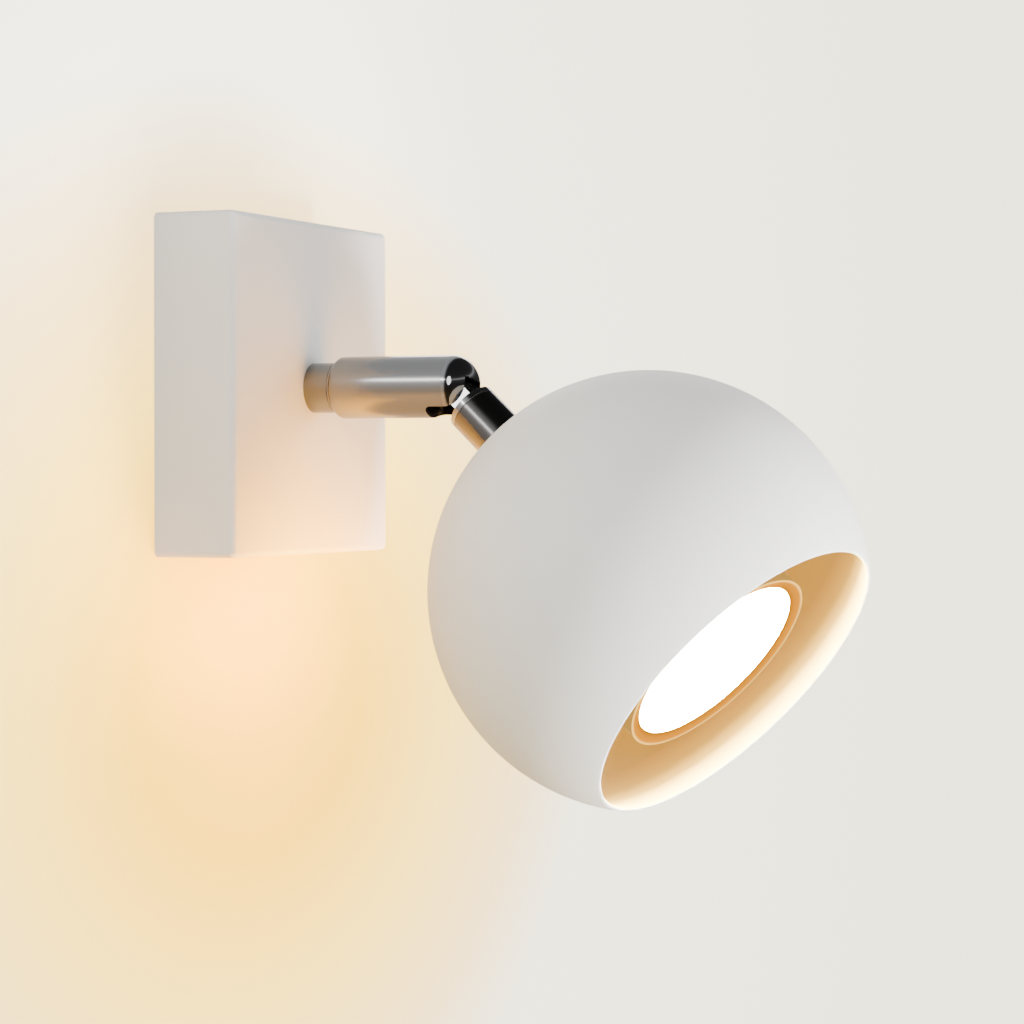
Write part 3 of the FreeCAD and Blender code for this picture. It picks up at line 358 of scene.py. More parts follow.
def glowing_face_finish():
    made, tree, shader = material("glowing_face")
    distance = calculate_vector(tree, "DISTANCE", own_place(tree), face_middle)
    share = calculate(tree, "DIVIDE", distance, DIFFUSER_RADIUS)
    frost = noise(tree, FROST_SCALE, 2.0)
    bump = wire(tree, "ShaderNodeBump", None, Strength=0.2, Distance=FROST_HEIGHT, Height=frost)
    connect(tree, shader, Emission_Color=colour_ramp(tree, share, FACE_GLOW),
            Emission_Strength=FACE_STRENGTH, Normal=bump.outputs[0],
            Base_Color=(0.9, 0.85, 0.75, 1), Roughness=0.5)
    return made


glowing_face = glowing_face_finish()
print("made material:", glowing_face.name)

# %% [markdown]
# The paint inside the shade is lit by the lamp's light that leaks past its bezel and bounces round and
# round. A path tracer finds that slowly, so the inside is given a painted warm glow of its own, though
# it is no lamp, and its colour is painted a warm tan for the same bounced light. A ramp along the
# globe's axis leaves the glow dim deep inside and makes it bright towards the mouth, where it stands in
# for the lamp's direct light as well. The mask is the distance from the globe's centre: only what is
# deep enough in the wall counts as inside.

# %% Glow inside the shade
GLOBE_RADIUS = 50.0 * MM
GLOBE_WALL = 1.0 * MM
INSIDE_BEGINS = GLOBE_RADIUS - 0.75 * GLOBE_WALL
# A painted warm tint of bounced lamplight, for the colour inside the shade.
INNER_PAINTED_LAMPLIGHT_TINT = (0.72, 0.58, 0.30, 1)
# A painted glow inside the shade: dim deep inside, and bright at the mouth, where it also stands in for
# the lamp's direct light.
INNER_PAINTED_GLOW = ((0.30, (0.20, 0.09, 0.0)), (0.42, (0.8, 0.36, 0.03)), (0.50, (3.4, 1.9, 0.3)),
              (0.62, (7.0, 5.0, 1.2)))


def tinted(tree, share, first, second):
    """A colour between two: the first at a share of 0, the second at 1."""
    mix = wire(tree, "ShaderNodeMix", {"data_type": "RGBA"}, s0=share, s6=first, s7=second)
    return mix.outputs[2]


def light_the_inside(paint):
    tree = paint.node_tree
    shader = tree.nodes["Principled BSDF"]
    offset = calculate_vector(tree, "SUBTRACT", own_place(tree), globe_middle)
    distance = calculate_vector(tree, "LENGTH", offset)
    inside = calculate(tree, "LESS_THAN", distance, INSIDE_BEGINS)
    along = calculate_vector(tree, "DOT_PRODUCT", offset, head_direction)
    share = calculate(tree, "DIVIDE", along, GLOBE_RADIUS)
    sprayed = shader.inputs["Base Color"].links[0].from_socket
    # The inside's colour becomes the painted warm tint, and its emission the painted glow.
    connect(tree, shader, Base_Color=tinted(tree, inside, sprayed, INNER_PAINTED_LAMPLIGHT_TINT),
            Emission_Color=colour_ramp(tree, share, INNER_PAINTED_GLOW), Emission_Strength=inside)


light_the_inside(globe_paint)
print("inside begins at", round(INSIDE_BEGINS / MM, 2), "mm from the centre")

# %% [markdown]
# The bezel stands right beside the disc, and a bright gold would burn out there. So its colour is dark,
# and it has a painted glow of its own, though it is no lamp: the glow makes its front gold, with a
# painted highlight as a thin bright line round the outer edge, and a weaker glow is a painted shade
# that leaves it brown where it faces sideways. The ring comes from the distance to the lamp's axis,
# which is the length of a cross product, and the brown comes from the normal.

# %% Glow of the bezel
BEZEL_RADIUS = 25.0 * MM
# A painted glow that makes the bezel's front gold; its last stop is a painted highlight, the thin
# bright line at the outer edge.
BEZEL_PAINTED_GLOW_AND_HIGHLIGHT = ((0.87, (0.50, 0.17, 0.0)), (0.92, (1.35, 0.45, 0.0)), (0.97, (1.5, 0.52, 0.01)),
              (0.99, (3.0, 1.6, 0.3)))
SIDE_FACING = 0.2
# The glow is weaker where the bezel faces sideways: a painted shade that leaves it brown.
SIDE_GLOW_PAINTED_SHADE = 0.25


def light_the_bezel(paint):
    tree = paint.node_tree
    offset = calculate_vector(tree, "SUBTRACT", own_place(tree), face_middle)
    across = calculate_vector(tree, "CROSS_PRODUCT", offset, head_direction)
    radius = calculate_vector(tree, "LENGTH", across)
    share = calculate(tree, "DIVIDE", radius, BEZEL_RADIUS)
    normal = wire(tree, "ShaderNodeTexCoord").outputs["Normal"]
    facing = calculate_vector(tree, "DOT_PRODUCT", normal, head_direction)
    strength = wire(tree, "ShaderNodeMapRange", None, Value=facing, From_Min=SIDE_FACING,
                    To_Min=SIDE_GLOW_PAINTED_SHADE)
    connect(tree, tree.nodes["Principled BSDF"], Specular_Tint=(0.05, 0.02, 0.0, 1),
            Emission_Color=colour_ramp(tree, share, BEZEL_PAINTED_GLOW_AND_HIGHLIGHT), Emission_Strength=strength.outputs[0])


light_the_bezel(bezel_gold)
print("bright line at", round(BEZEL_PAINTED_GLOW_AND_HIGHLIGHT[-1][0] * BEZEL_RADIUS / MM, 2), "mm from the axis")

# %% [markdown]
# Every CAD piece gets its finish now. A node that a smooth copy will stand for is dressed as well,
# because the copy takes its material with its mesh.

# %% Dress the CAD pieces
finishes = {
    canopy_paint: ["canopy_cover"],
    globe_paint: ["globe_shade"],
    satin_nickel: ["arm_barrel"],
    collar_nickel_painted_shade: ["arm_collar"],
    chrome: ["knuckle_dome", "pivot_screw", "knuckle_tongue"],
    chrome_painted_shade: ["stem_sleeve"],
    zinc: ["wall_bracket", "cover_screws", "collar_washer", "collar_nut", "terminal_screws",
           "block_screw", "earth_washer", "swivel_grub_screw", "shade_washer", "shade_nut",
           "holder_strap", "holder_screws"],
    brass: ["terminal_tubes", "earth_screw", "holder_contacts", "lamp_pins"],
    ceramic: ["holder_body", "holder_face"],
    rubber: ["cable_grommet", "tilt_washer"],
    block_plastic: ["terminal_block"],
    brown_sleeve: ["live_lead", "arm_leads", "head_leads"],
    blue_sleeve: ["neutral_lead"],
    earth_sleeve: ["earth_lead"],
    lamp_plastic: ["lamp_base"],
    lamp_metal: ["lamp_shell"],
    bezel_gold: ["lamp_bezel"],
    glowing_face: ["lamp_diffuser"],
    board_white: ["led_board"],
}
for paint, names in finishes.items():
    for name in names:
        nodes[name].data.materials.clear()
        nodes[name].data.materials.append(paint)
print("dressed:", sum(len(names) for names in finishes.values()), "of", len(nodes))

# %% [markdown]
# Geometry Nodes make the pieces whose shape follows a rule. Each tree has a named input for every
# size and ends in real geometry with its material. `grown` runs a tree on an empty object, keeps
# the result as a plain mesh, merges its seams and puts it in place, and then lets it ride on its
# body. `calculator` fills in the tree for `calculate`, because a shape needs many sums.

# %% Geometry Nodes helpers
SHARP_EDGE = math.radians(32)
SEAM = 1e-7


def geometry_tree(name, sizes):
    """A Geometry Nodes tree with an input for each size; returns it and what its inputs give."""
    tree = bpy.data.node_groups.new(name, "GeometryNodeTree")
    for label, value in sizes.items():
        kind = "NodeSocketInt" if isinstance(value, int) else NUMBER
        tree.interface.new_socket(name=label, in_out="INPUT", socket_type=kind)
    tree.interface.new_socket(name="Geometry", in_out="OUTPUT", socket_type="NodeSocketGeometry")
    return tree, tree.nodes.new("NodeGroupInput").outputs


def close_tree(tree, geometry, paint):
    real = wire(tree, "GeometryNodeRealizeInstances", None, Geometry=geometry)
    painted = wire(tree, "GeometryNodeSetMaterial", None, Geometry=real.outputs[0], Material=paint)
    wire(tree, "NodeGroupOutput", None, Geometry=painted.outputs[0])
    return tree


def calculator(tree):
    return lambda operation, first, second=0.0: calculate(tree, operation, first, second)


def smooth_object(name, mesh):
    """An object for a mesh that is shaded smooth, except over its sharp edges."""
    mesh.name = name
    mesh.shade_smooth()
    mesh.set_sharp_from_angle(angle=SHARP_EDGE)
    print(name, len(mesh.polygons), "faces")
    return linked_object(name, mesh)


def grown(name, tree, sizes, axes, body, replaced=()):
    holder = linked_object(name + "_holder", bpy.data.meshes.new(name + "_holder"))
    modifier = holder.modifiers.new("grow", "NODES")
    modifier.node_group = tree
    for item in tree.interface.items_tree:
        if item.in_out == "INPUT":
            modifier[item.identifier] = sizes[item.name]
    bpy.context.view_layer.update()
    evaluated = holder.evaluated_get(bpy.context.evaluated_depsgraph_get())
    mesh = bpy.data.meshes.new_from_object(evaluated)
    bpy.data.objects.remove(holder)
    mesh.transform(axes)
    shape = bmesh.new()
    shape.from_mesh(mesh)
    bmesh.ops.remove_doubles(shape, verts=shape.verts, dist=SEAM)
    bmesh.ops.recalc_face_normals(shape, faces=shape.faces)
    shape.to_mesh(mesh)
    shape.free()
    piece = smooth_object(name, mesh)
    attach(piece, body)
    if replaced:
        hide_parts(*replaced)


# %% [markdown]
# The globe is a spun shell: an outer arc, a rounded lip, and an inner arc back to the hole for the
# stem. The tree bends a flat grid into it. One way along the grid is the turn around the stem, and
# the other way runs along the profile. This gives a smoother outline than the CAD triangles, and
# the lip gets its real rounded edge.

# %% The spun globe
GLOBE_SIZES = {"Radius": GLOBE_RADIUS, "Wall": GLOBE_WALL, "Mouth offset": 30.7 * MM,
               "Hole radius": 5.2 * MM, "Around": 240, "Along": 220, "Lip share": 0.06}
FIRST_ROW = 0.0001


def position_parts(tree):
    """The X, Y and Z of each point."""
    position = wire(tree, "GeometryNodeInputPosition").outputs[0]
    return wire(tree, "ShaderNodeSeparateXYZ", None, Vector=position).outputs


def moved(tree, geometry, **place):
    """The geometry with its points moved to these X, Y and Z."""
    target = wire(tree, "ShaderNodeCombineXYZ", None, **place).outputs[0]
    return wire(tree, "GeometryNodeSetPosition", None, Geometry=geometry, Position=target).outputs[0]


def globe_tree():
    tree, size = geometry_tree("spun_globe", GLOBE_SIZES)
    calc = calculator(tree)
    grid = wire(tree, "GeometryNodeMeshGrid", None, Size_X=1.0, Size_Y=1.0,
                Vertices_X=size["Around"], Vertices_Y=size["Along"])
    at = position_parts(tree)
    turn = calc("MULTIPLY", calc("ADD", at["X"], 0.5), 2 * math.pi)
    along = calc("ADD", at["Y"], 0.5)
    # The profile's share of each arc, and the half turn of the lip between them.
    half_lip = calc("MULTIPLY", size["Lip share"], 0.5)
    arc_share = calc("SUBTRACT", 0.5, half_lip)
    nearer = calc("MINIMUM", along, calc("SUBTRACT", 1.0, along))
    reach = calc("MINIMUM", calc("DIVIDE", nearer, arc_share), 1.0)
    lip = wire(tree, "ShaderNodeMapRange", None, Value=along, From_Min=arc_share,
               From_Max=calc("ADD", 0.5, half_lip), To_Min=0.0, To_Max=math.pi).outputs[0]
    # The angle from the stem, from the hole's edge to the mouth's.
    half_wall = calc("MULTIPLY", size["Wall"], 0.5)
    middle = calc("SUBTRACT", size["Radius"], half_wall)
    start = calc("ARCSINE", calc("DIVIDE", size["Hole radius"], size["Radius"]))
    cut = calc("ARCCOSINE", calc("DIVIDE", size["Mouth offset"], size["Radius"]))
    mouth = calc("SUBTRACT", calc("SUBTRACT", math.pi, cut), calc("DIVIDE", half_wall, size["Radius"]))
    arc = calc("ADD", start, calc("MULTIPLY", reach, calc("SUBTRACT", mouth, start)))
    bulge = calc("DIVIDE", calc("MULTIPLY", half_wall, calc("SINE", lip)), middle)
    polar = calc("ADD", arc, bulge)
    # The distance from the centre. The first row drops to the inner wall and closes the hole's edge.
    outward = calc("ADD", middle, calc("MULTIPLY", half_wall, calc("COSINE", lip)))
    dropped = calc("MULTIPLY", calc("LESS_THAN", along, FIRST_ROW), size["Wall"])
    outward = calc("SUBTRACT", outward, dropped)
    across = calc("MULTIPLY", outward, calc("SINE", polar))
    high = calc("MULTIPLY", calc("MULTIPLY", outward, calc("COSINE", polar)), -1.0)
    bent = moved(tree, grid.outputs["Mesh"], X=calc("MULTIPLY", across, calc("COSINE", turn)),
                 Y=calc("MULTIPLY", across, calc("SINE", turn)), Z=high)
    merged = wire(tree, "GeometryNodeMergeByDistance", None, Geometry=bent, Distance=SEAM)
    return close_tree(tree, merged.outputs[0], globe_paint)


grown("spun_globe", globe_tree(), GLOBE_SIZES, globe_axes, "head", ["globe_shade"])

# %% [markdown]
# The other pieces are good solids, but their CAD meshes are loose flat triangles. A merged copy with
# smooth shading and a hairline bevel catches the light on its edges, like real metal, rubber and
# moulded plastic do. How wide the bevel is tells the eye what made the edge: a turned edge is broken
# by 0.1 mm, a moulding by 0.3 mm, and a rubber lip by still more. Smooth shading alone would bend
# the light over the canopy's large flat front, so a Weighted Normal modifier gives large faces their
# own direction back.

# %% Smooth copies
CAD_SEAM = 1e-6
FLAT_ANGLE = math.radians(0.5)
BEVEL_ANGLE = math.radians(40)
BEVELS = {
    "canopy": {"arm_collar": 0.08, "canopy_cover": 0.0, "collar_nut": 0.35, "cable_grommet": 0.5,
               "terminal_block": 0.4, "wall_bracket": 0.15, "earth_washer": 0.1},
    "arm": {"arm_barrel": 0.08, "knuckle_dome": 0.08, "pivot_screw": 0.1},
    "head": {"knuckle_tongue": 0.08, "stem_sleeve": 0.08, "shade_nut": 0.35, "shade_washer": 0.1,
             "holder_strap": 0.25, "holder_body": 0.5, "holder_face": 0.3},
    "lamp": {"lamp_bezel": 0.12, "lamp_shell": 0.25, "lamp_base": 0.5, "lamp_pins": 0.3,
             "lamp_diffuser": 0.12},
}


def merged_mesh(node):
    """A copy of a node's mesh with its seams closed and its flat faces made whole."""
    mesh = nodes[node].data.copy()
    shape = bmesh.new()
    shape.from_mesh(mesh)
    bmesh.ops.remove_doubles(shape, verts=shape.verts, dist=CAD_SEAM)
    bmesh.ops.dissolve_limit(shape, angle_limit=FLAT_ANGLE, verts=shape.verts, edges=shape.edges)
    shape.to_mesh(mesh)
    shape.free()
    return mesh


def show(name, mesh, body, node, bevel):
    """Give a mesh its soft shading and its bevel, in mm, and let it stand for a CAD node."""
    piece = smooth_object(name, mesh)
    if bevel:
        edge = piece.modifiers.new("edge", "BEVEL")
        edge.width = bevel * MM
        edge.segments = 2
        edge.limit_method = "ANGLE"
        edge.angle_limit = BEVEL_ANGLE
        edge.harden_normals = True
    flat = piece.modifiers.new("flat", "WEIGHTED_NORMAL")
    flat.keep_sharp = True
    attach(piece, body)
    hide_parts(node)


for body, bevels in BEVELS.items():
    for node, bevel in bevels.items():
        show(node + "_smooth", merged_mesh(node), body, node, bevel)

# %% [markdown]
# A screw is known by its drive. The cover's, the holder's and the terminal block's own screws have
# a cross, and the clamping screws and the earth screw a plain slot. A Boolean modifier cuts them:
# the cutter is one bar, or two crossed bars, which narrow downwards and stand in the screw's head.
# A slot is turned by 20 degrees, because a screw stops wherever it is tight.

# %% How a drive is cut
CROSS_TURNS = (0, 90)
SLOT_TURNS = (20,)
FOOT_SHARE, TOP_SHARE = 0.6, 1.4
CORNERS = ((-1, -1), (1, -1), (1, 1), (-1, 1))
BAR_FACES = ((3, 2, 1, 0), (4, 5, 6, 7), (0, 1, 5, 4), (1, 2, 6, 5), (2, 3, 7, 6), (3, 0, 4, 7))
DRIVE_BEVEL = 0.06


def bar_corners(half_long, half_wide, depth):
    """The corners of a bar that narrows towards its foot."""
    return [Vector((x * half_long * share, y * half_wide, height))
            for height, share in ((-depth, FOOT_SHARE), (depth, TOP_SHARE)) for x, y in CORNERS]


def drive_cutter(places, span, width, depth, turns):
    """One mesh with a bar for each turn at each place."""
    corners, faces = [], []
    for place in places:
        for turn in turns:
            matrix = place @ Matrix.Rotation(math.radians(turn), 4, "Z")
            faces += [tuple(len(corners) + index for index in side) for side in BAR_FACES]
            corners += [matrix @ point for point in bar_corners(span / 2, width / 2, depth)]
    mesh = bpy.data.meshes.new("drive_cutter")
    mesh.from_pydata(corners, [], faces)
    return mesh


def cut_drives(node, body, places, span=3.4, width=0.6, depth=0.9, turns=CROSS_TURNS):
    """A screw node with its drives cut in, as a new piece; the sizes are in mm."""
    screw = linked_object("screw_blank", merged_mesh(node))
    cutter = linked_object("drive_cutter",
                           drive_cutter(places, span * MM, width * MM, depth * MM, turns))
    drives = screw.modifiers.new("drives", "BOOLEAN")
    drives.object = cutter
    drives.use_self = True
    bpy.context.view_layer.update()
    evaluated = screw.evaluated_get(bpy.context.evaluated_depsgraph_get())
    mesh = bpy.data.meshes.new_from_object(evaluated)
    for item in (screw, cutter):
        bpy.data.objects.remove(item)
    show(node + "_driven", mesh, body, node, DRIVE_BEVEL)


# %% [markdown]
# Each drive stands on the top of its own screw's head. Most screws point along the canopy's or the
# head's axis, and their height is measured from the CAD mesh. The cover's two screws lie in the
# canopy's upper and lower sides, and point inwards.

# %% Screw drives
CANOPY_HALF = 40.0 * MM
COVER_SCREW_HEIGHT = 8.0 * MM
HOLDER_SCREW_REACH = 11.4 * MM
TERMINAL_REACH = 19.5 * MM
TERMINAL_STEP = 4.0 * MM
EARTH_REACH = 19.0 * MM


def top_of(node, axes):
    """The highest point of a node along an axis."""
    to_axes = axes.inverted()
    return max((to_axes @ vertex.co).z for vertex in nodes[node].data.vertices)


def stands_at(axes, across, up, height):
    return axes @ Matrix.Translation((across, up, height))


cover_screws = [stands_at(canopy_axes, 0, side * CANOPY_HALF, COVER_SCREW_HEIGHT)
                @ Matrix.Rotation(math.radians(-90 * side), 4, "X") for side in (1, -1)]
cut_drives("cover_screws", "canopy", cover_screws)
holder_top = top_of("holder_screws", head_axes)
cut_drives("holder_screws", "head",
           [stands_at(head_axes, side * HOLDER_SCREW_REACH, 0, holder_top) for side in (-1, 1)])
cut_drives("block_screw", "canopy",
           [stands_at(canopy_axes, TERMINAL_REACH, 0, top_of("block_screw", canopy_axes))])
cut_drives("earth_screw", "canopy",
           [stands_at(canopy_axes, -EARTH_REACH, 0, top_of("earth_screw", canopy_axes))],
           span=7.0, width=0.8, turns=SLOT_TURNS)
terminal_top = top_of("terminal_screws", canopy_axes)
cut_drives("terminal_screws", "canopy",
           [stands_at(canopy_axes, TERMINAL_REACH + end * TERMINAL_STEP, side * TERMINAL_STEP,
                      terminal_top) for side in (-1, 1) for end in (-1, 1)],
           span=4.0, width=0.5, depth=0.7, turns=SLOT_TURNS)

# %% [markdown]
# Three more pieces repeat one shape by a rule, so Geometry Nodes grow each from one copy: the fins
# of the lamp's heat sink, the chips on the lamp's board and the teeth of the collar's lock washer.
# Each tree makes one copy and stands it on the points of a circle, turned outwards.

# %% Rings of copies


def ring_of(tree, piece, count, radius):
    """Copies of a piece that points along +X, on a circle about Z, each turned outwards."""
    calc = calculator(tree)
    line = wire(tree, "GeometryNodeMeshLine", None, Count=count)
    index = wire(tree, "GeometryNodeInputIndex").outputs[0]
    turn = calc("MULTIPLY", calc("DIVIDE", index, count), 2 * math.pi)
    points = moved(tree, line.outputs[0], X=calc("MULTIPLY", radius, calc("COSINE", turn)),
                   Y=calc("MULTIPLY", radius, calc("SINE", turn)))
    facing = wire(tree, "ShaderNodeCombineXYZ", None, Z=turn)
    copies = wire(tree, "GeometryNodeInstanceOnPoints", None, Points=points, Instance=piece,
                  Rotation=facing.outputs[0])
    return copies.outputs[0]


# %% [markdown]
# The heat sink's fins are thin plates. A cube is bent into one: its inner edge follows the cone of
# the lamp's shell, and its outer edge leans out less, so a fin is deepest at its foot.

# %% Fins of the heat sink
LAMP_BASE_HEIGHT = 13.0 * MM
LAMP_CONE_HEIGHT = 22.0 * MM
FIN_SIZES = {"Count": 32, "Foot": LAMP_BASE_HEIGHT + 1.0 * MM, "Height": LAMP_CONE_HEIGHT - 1.5 * MM,
             "Inner foot": 13.2 * MM, "Inner top": 23.6 * MM, "Outer foot": 16.5 * MM,
             "Outer top": 24.7 * MM, "Thickness": 0.8 * MM}


def fin_tree():
    tree, size = geometry_tree("cooling_fins", FIN_SIZES)
    calc = calculator(tree)
    blank = wire(tree, "GeometryNodeMeshCube", None, Size=(1, 1, 1))
    at = position_parts(tree)
    share = calc("ADD", at["Z"], 0.5)
    edges = []
    for side in ("Inner", "Outer"):
        span = calc("SUBTRACT", size[side + " top"], size[side + " foot"])
        edges.append(calc("ADD", size[side + " foot"], calc("MULTIPLY", span, share)))
    reach = wire(tree, "ShaderNodeMapRange", None, Value=at["X"], From_Min=-0.5, From_Max=0.5,
                 To_Min=edges[0], To_Max=edges[1]).outputs[0]
    fin = moved(tree, blank.outputs["Mesh"], X=reach, Y=calc("MULTIPLY", at["Y"], size["Thickness"]),
                Z=calc("ADD", size["Foot"], calc("MULTIPLY", share, size["Height"])))
    return close_tree(tree, ring_of(tree, fin, size["Count"], 0.0), lamp_metal)


lamp_foot = top_of("lamp_base", head_axes) - LAMP_BASE_HEIGHT
lamp_axes = head_axes @ Matrix.Translation((0, 0, lamp_foot))
grown("cooling_fins", fin_tree(), FIN_SIZES, lamp_axes, "lamp")

# %% [markdown]
# Behind the lamp's disc sits a board with rings of small light chips. Each chip is a square package
# with a round window that stands a little proud of it.

# %% Chips on the lamp's board
CHIP_SIZES = {"Chip": 2.2 * MM, "Step": 5.5 * MM, "Height": 0.7 * MM}
CHIP_RINGS = (1, 2, 3)
CHIPS_IN_FIRST_RING = 6
WINDOW_SIDES = 20
WINDOW_SHARE = 0.36
WINDOW_LIFT = 0.15 * MM
CHIP_SEAT = 0.3 * MM
chip_yellow = moulded("chip_yellow", (0.75, 0.55, 0.10), 0.25, 0.4)


def block(tree, **sides):
    """A cube node with these X, Y and Z sizes."""
    return wire(tree, "GeometryNodeMeshCube", None,
                Size=wire(tree, "ShaderNodeCombineXYZ", None, **sides).outputs[0])


def joined(tree, parts):
    """One geometry from several."""
    join = wire(tree, "GeometryNodeJoinGeometry")
    for part in parts:
        tree.links.new(part, join.inputs[0])
    return join.outputs[0]


def chip_tree():
    tree, size = geometry_tree("led_chips", CHIP_SIZES)
    calc = calculator(tree)
    package = block(tree, X=size["Chip"], Y=size["Chip"], Z=size["Height"])
    window = wire(tree, "GeometryNodeMeshCylinder", None, Vertices=WINDOW_SIDES,
                  Depth=size["Height"], Radius=calc("MULTIPLY", size["Chip"], WINDOW_SHARE))
    lifted = wire(tree, "GeometryNodeTransform", None, Geometry=window.outputs["Mesh"],
                  Translation=(0, 0, WINDOW_LIFT))
    chip = joined(tree, [package.outputs["Mesh"], lifted.outputs[0]])
    rings = [ring_of(tree, chip, CHIPS_IN_FIRST_RING * ring, calc("MULTIPLY", size["Step"], ring))
             for ring in CHIP_RINGS]
    return close_tree(tree, joined(tree, rings), chip_yellow)


board_top = top_of("led_board", head_axes)
board_axes = head_axes @ Matrix.Translation((0, 0, board_top + CHIP_SEAT))
grown("led_chips", chip_tree(), CHIP_SIZES, board_axes, "lamp")

# %% [markdown]
# A toothed washer behind the canopy's front keeps the collar's nut from working loose. It is a
# flat ring, swept along a circle, with teeth that are each twisted a little out of its plane.

# %% Lock washer
WASHER_SIZES = {"Teeth": 18, "Bore": 5.06 * MM, "Ring": 6.9 * MM, "Outer": 9.0 * MM,
                "Thickness": 0.6 * MM, "Twist": math.radians(14)}
RING_POINTS = 96
TOOTH_LENGTH, TOOTH_WIDTH, TOOTH_MIDDLE = 1.15, 0.55, 0.42
WASHER_SEAT = 0.5 * MM


def lock_washer_tree():
    tree, size = geometry_tree("lock_washer", WASHER_SIZES)
    calc = calculator(tree)
    middle_line = calc("MULTIPLY", calc("ADD", size["Bore"], size["Ring"]), 0.5)
    circle = wire(tree, "GeometryNodeCurvePrimitiveCircle", None, Resolution=RING_POINTS,
                  Radius=middle_line)
    section = wire(tree, "GeometryNodeCurvePrimitiveQuadrilateral", None, Height=size["Thickness"],
                   Width=calc("SUBTRACT", size["Ring"], size["Bore"]))
    ring = wire(tree, "GeometryNodeCurveToMesh", None, Curve=circle.outputs[0],
                Profile_Curve=section.outputs[0])
    reach = calc("SUBTRACT", size["Outer"], size["Ring"])
    blank = block(tree, X=calc("MULTIPLY", reach, TOOTH_LENGTH), Y=calc("MULTIPLY", reach, TOOTH_WIDTH),
                  Z=size["Thickness"])
    connect(tree, blank, Vertices_X=4)
    twist = wire(tree, "ShaderNodeCombineXYZ", None, X=size["Twist"])
    tooth = wire(tree, "GeometryNodeTransform", None, Geometry=blank.outputs["Mesh"],
                 Rotation=twist.outputs[0])
    stand = calc("ADD", size["Ring"], calc("MULTIPLY", reach, TOOTH_MIDDLE))
    teeth = ring_of(tree, tooth.outputs[0], size["Teeth"], stand)
    return close_tree(tree, joined(tree, [ring.outputs[0], teeth]), zinc)


washer_top = top_of("collar_washer", canopy_axes)
washer_axes = canopy_axes @ Matrix.Translation((0, 0, washer_top - WASHER_SEAT))
grown("lock_washer", lock_washer_tree(), WASHER_SIZES, washer_axes, "canopy", ["collar_washer"])

# %% [markdown]
# The studio is a pale wall behind the light and a pale floor below it. They aren't part of the object,
# and they are see-through from behind, so that views from behind or from below still show the light.
# The wall glows by itself: a Light Path node gives camera rays the whole glow and all other rays a
# small share, so that a white lamp can stand darker before a white wall. A round gradient makes the
# glow a soft warm pool: a painted pool of warm light, which also tints the wall's own colour warm
# inside it.

# %% Wall and floor
WALL_SIZE = 4.0
WALL_MIDDLE = (0.6, 0.0004, 0.6)
FLOOR_MIDDLE = (0.6, -2.0, -0.32)
PALE = (0.60, 0.58, 0.53, 1)
# A painted warm tint of light, given to the wall's colour inside the pool.
POOL_PAINTED_WARM_TINT = (0.56, 0.38, 0.0, 1)
POOL_MIDDLE = (0.01, 0.0, -0.075)
POOL_SHAPE = (4.6, 1.0, 6.6)
# The pool's painted glow of warm light, from its middle out to its edge.
POOL_PAINTED_GLOW = ((0.0, (5.2, 1.8, 0.0)), (0.27, (3.6, 1.7, 0.0)), (0.50, (4.1, 2.6, 0.35)),
             (0.8, (3.5, 2.4, 1.1)), (1.0, (3.2, 3.0, 2.25)))
POOL_FALL = 3.0
WALL_BOUNCE = 0.12


def stage_sheet(name, middle, turn):
    """A large square that is seen only from its front; returns its node tree and its shader."""
    half = WALL_SIZE / 2
    corners = [turn @ Vector((x * half, y * half, 0)) + Vector(middle) for x, y in CORNERS]
    mesh = bpy.data.meshes.new(name)
    mesh.from_pydata(corners, [], [(0, 1, 2, 3)])
    made, tree, shader = material(name + "_paint")
    connect(tree, shader, Base_Color=PALE, Roughness=0.9)
    clear = wire(tree, "ShaderNodeBsdfTransparent")
    back = wire(tree, "ShaderNodeNewGeometry").outputs["Backfacing"]
    choice = wire(tree, "ShaderNodeMixShader", None, s0=back, s1=shader.outputs[0],
                  s2=clear.outputs[0])
    connect(tree, tree.nodes["Material Output"], Surface=choice.outputs[0])
    mesh.materials.append(made)
    sheet = linked_object(name, mesh)
    sheet.visible_glossy = False
    print("stage:", name)
    return tree, shader


def add_painted_light_pool(tree, shader):
    """Painted warm light, as glow and as a warm tint of the wall's colour, by how far a point is from
    the pool's middle: 0 there, and 1 at its edge.
    """
    offset = calculate_vector(tree, "SUBTRACT", own_place(tree), POOL_MIDDLE)
    share = calculate_vector(tree, "LENGTH", calculate_vector(tree, "MULTIPLY", offset, POOL_SHAPE))
    painted_pool_fade = calculate(tree, "POWER", share, POOL_FALL)
    seen = wire(tree, "ShaderNodeLightPath").outputs["Is Camera Ray"]
    connect(tree, shader, Base_Color=tinted(tree, painted_pool_fade, POOL_PAINTED_WARM_TINT, PALE),
            Emission_Color=colour_ramp(tree, share, POOL_PAINTED_GLOW),
            Emission_Strength=calculate(tree, "MAXIMUM", seen, WALL_BOUNCE))


add_painted_light_pool(*stage_sheet("pale_wall", WALL_MIDDLE, Matrix.Rotation(math.radians(90), 3, "X")))
stage_sheet("pale_floor", FLOOR_MIDDLE, Matrix.Identity(3))

# %% [markdown]
# Soft studio light comes from all round, so the world gives an even pale light to matt paint.
# Bright metal shows what stands around it, so glossy rays get a small studio of their own. A ramp
# by height has a narrow bright band above eye height, with grey around it and warm tones far below
# it, and all of it is far brighter on the wall's side than in the dark room in front.

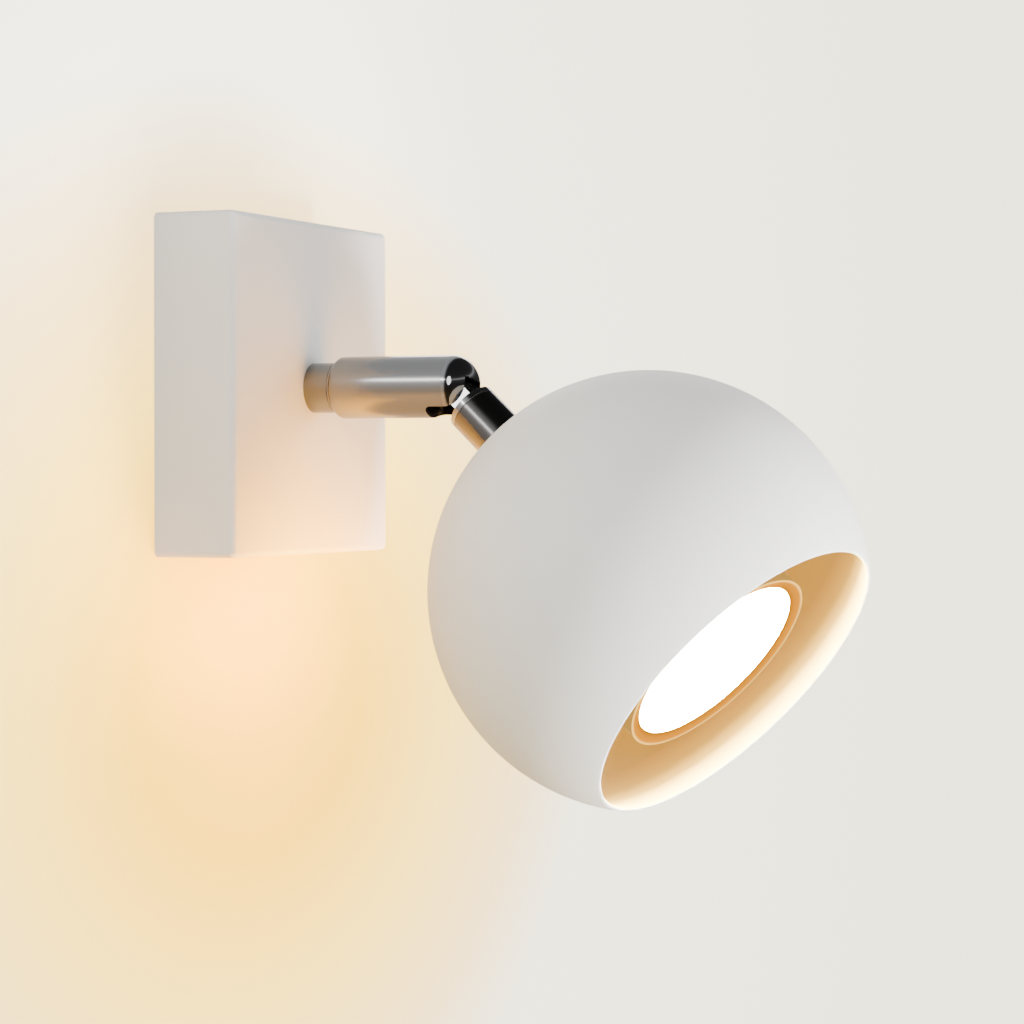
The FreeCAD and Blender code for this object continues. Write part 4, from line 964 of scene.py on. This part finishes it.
# %% World
AROUND = ((0.0, (0.75, 0.46, 0.22)), (0.24, (0.9, 0.55, 0.28)), (0.36, (0.46, 0.34, 0.24)),
          (0.47, (0.44, 0.38, 0.33)), (0.60, (0.50, 0.50, 0.50)), (0.66, (1.1, 1.1, 1.12)),
          (0.695, (6.0, 6.0, 6.0)), (0.73, (0.9, 0.9, 0.92)), (0.78, (0.45, 0.46, 0.47)),
          (1.0, (0.36, 0.37, 0.38)))
SOFT_LIGHT = 0.58
ROOM_SIDE, WALL_SIDE = 0.12, 2.4
WALL_BEGINS = 0.22


def studio_world():
    world = bpy.data.worlds.new("studio")
    bpy.context.scene.world = world
    world.use_nodes = True
    tree = world.node_tree
    plain = connect(tree, tree.nodes["Background"], Color=(1.0, 0.99, 0.975, 1), Strength=SOFT_LIGHT)
    direction = wire(tree, "ShaderNodeTexCoord").outputs["Generated"]
    parts = wire(tree, "ShaderNodeSeparateXYZ", None, Vector=direction)
    height = wire(tree, "ShaderNodeMapRange", None, Value=parts.outputs["Z"], From_Min=-1.0)
    wallward = wire(tree, "ShaderNodeMapRange", {"interpolation_type": "SMOOTHSTEP"},
                    Value=parts.outputs["Y"], From_Min=0.0, From_Max=WALL_BEGINS,
                    To_Min=ROOM_SIDE, To_Max=WALL_SIDE)
    around = colour_ramp(tree, height.outputs[0], AROUND)
    shiny = wire(tree, "ShaderNodeBackground", None, Color=around, Strength=wallward.outputs[0])
    glossy = wire(tree, "ShaderNodeLightPath").outputs["Is Glossy Ray"]
    mix = wire(tree, "ShaderNodeMixShader", None, s0=glossy, s1=plain.outputs[0], s2=shiny.outputs[0])
    connect(tree, tree.nodes["World Output"], Surface=mix.outputs[0])
    print("made world:", world.name)


studio_world()

# %% [markdown]
# Five soft boxes shape the light. The key box, in front and to the right, models the globe, and the
# low box sends it a narrow beam from below. The side box lights the canopy's left edge. The
# elliptical box near the camera is the only one that shows in a reflection: it gives the single
# bright spot on the knuckle. A warm strip between the globe and the canopy stands for the lamp's
# light that comes back from the wall. None of them is seen directly.

# %% Lights
PANEL, ELLIPSE = "RECTANGLE", "ELLIPSE"


def soft_box(name, at, aim, shape, sizes, power, colour=(1, 1, 1), spread=180.0, mirrored=False):
    """An area light; the sizes are its width and height in metres, and the power is in watts."""
    data = bpy.data.lights.new(name, "AREA")
    data.shape = shape
    data.size, data.size_y = sizes
    data.energy = power
    data.color = colour
    data.spread = math.radians(spread)
    box = linked_object(name, data)
    box.location = at
    box.rotation_euler = (Vector(aim) - Vector(at)).to_track_quat("-Z", "Y").to_euler()
    box.visible_camera = False
    box.visible_glossy = mirrored
    print("light:", name, power, "W")


soft_box("key_box", (0.19, -0.46, 0.0), globe_middle, PANEL, (0.25, 0.25), 2.0, (1.0, 0.99, 0.97))
soft_box("low_box", (-0.01, -0.45, -0.22), globe_middle, PANEL, (0.15, 0.15), 0.42,
         (1.0, 0.98, 0.95), spread=30.0)
soft_box("side_box", (-0.42, 0.0, 0.13), (-0.04, -0.01, 0.0), PANEL, (0.2, 0.2), 1.7,
         (0.97, 0.98, 1.0))
soft_box("round_box", (-0.535, -0.238, 0.202), (0, -0.058, 0), ELLIPSE, (0.22, 0.32), 1.0,
         mirrored=True)
soft_box("warm_strip", (0.0, -0.046, -0.065), (0.0, -0.021, -0.034), PANEL, (0.07, 0.01), 0.24,
         (1.0, 0.40, 0.0), spread=160.0)
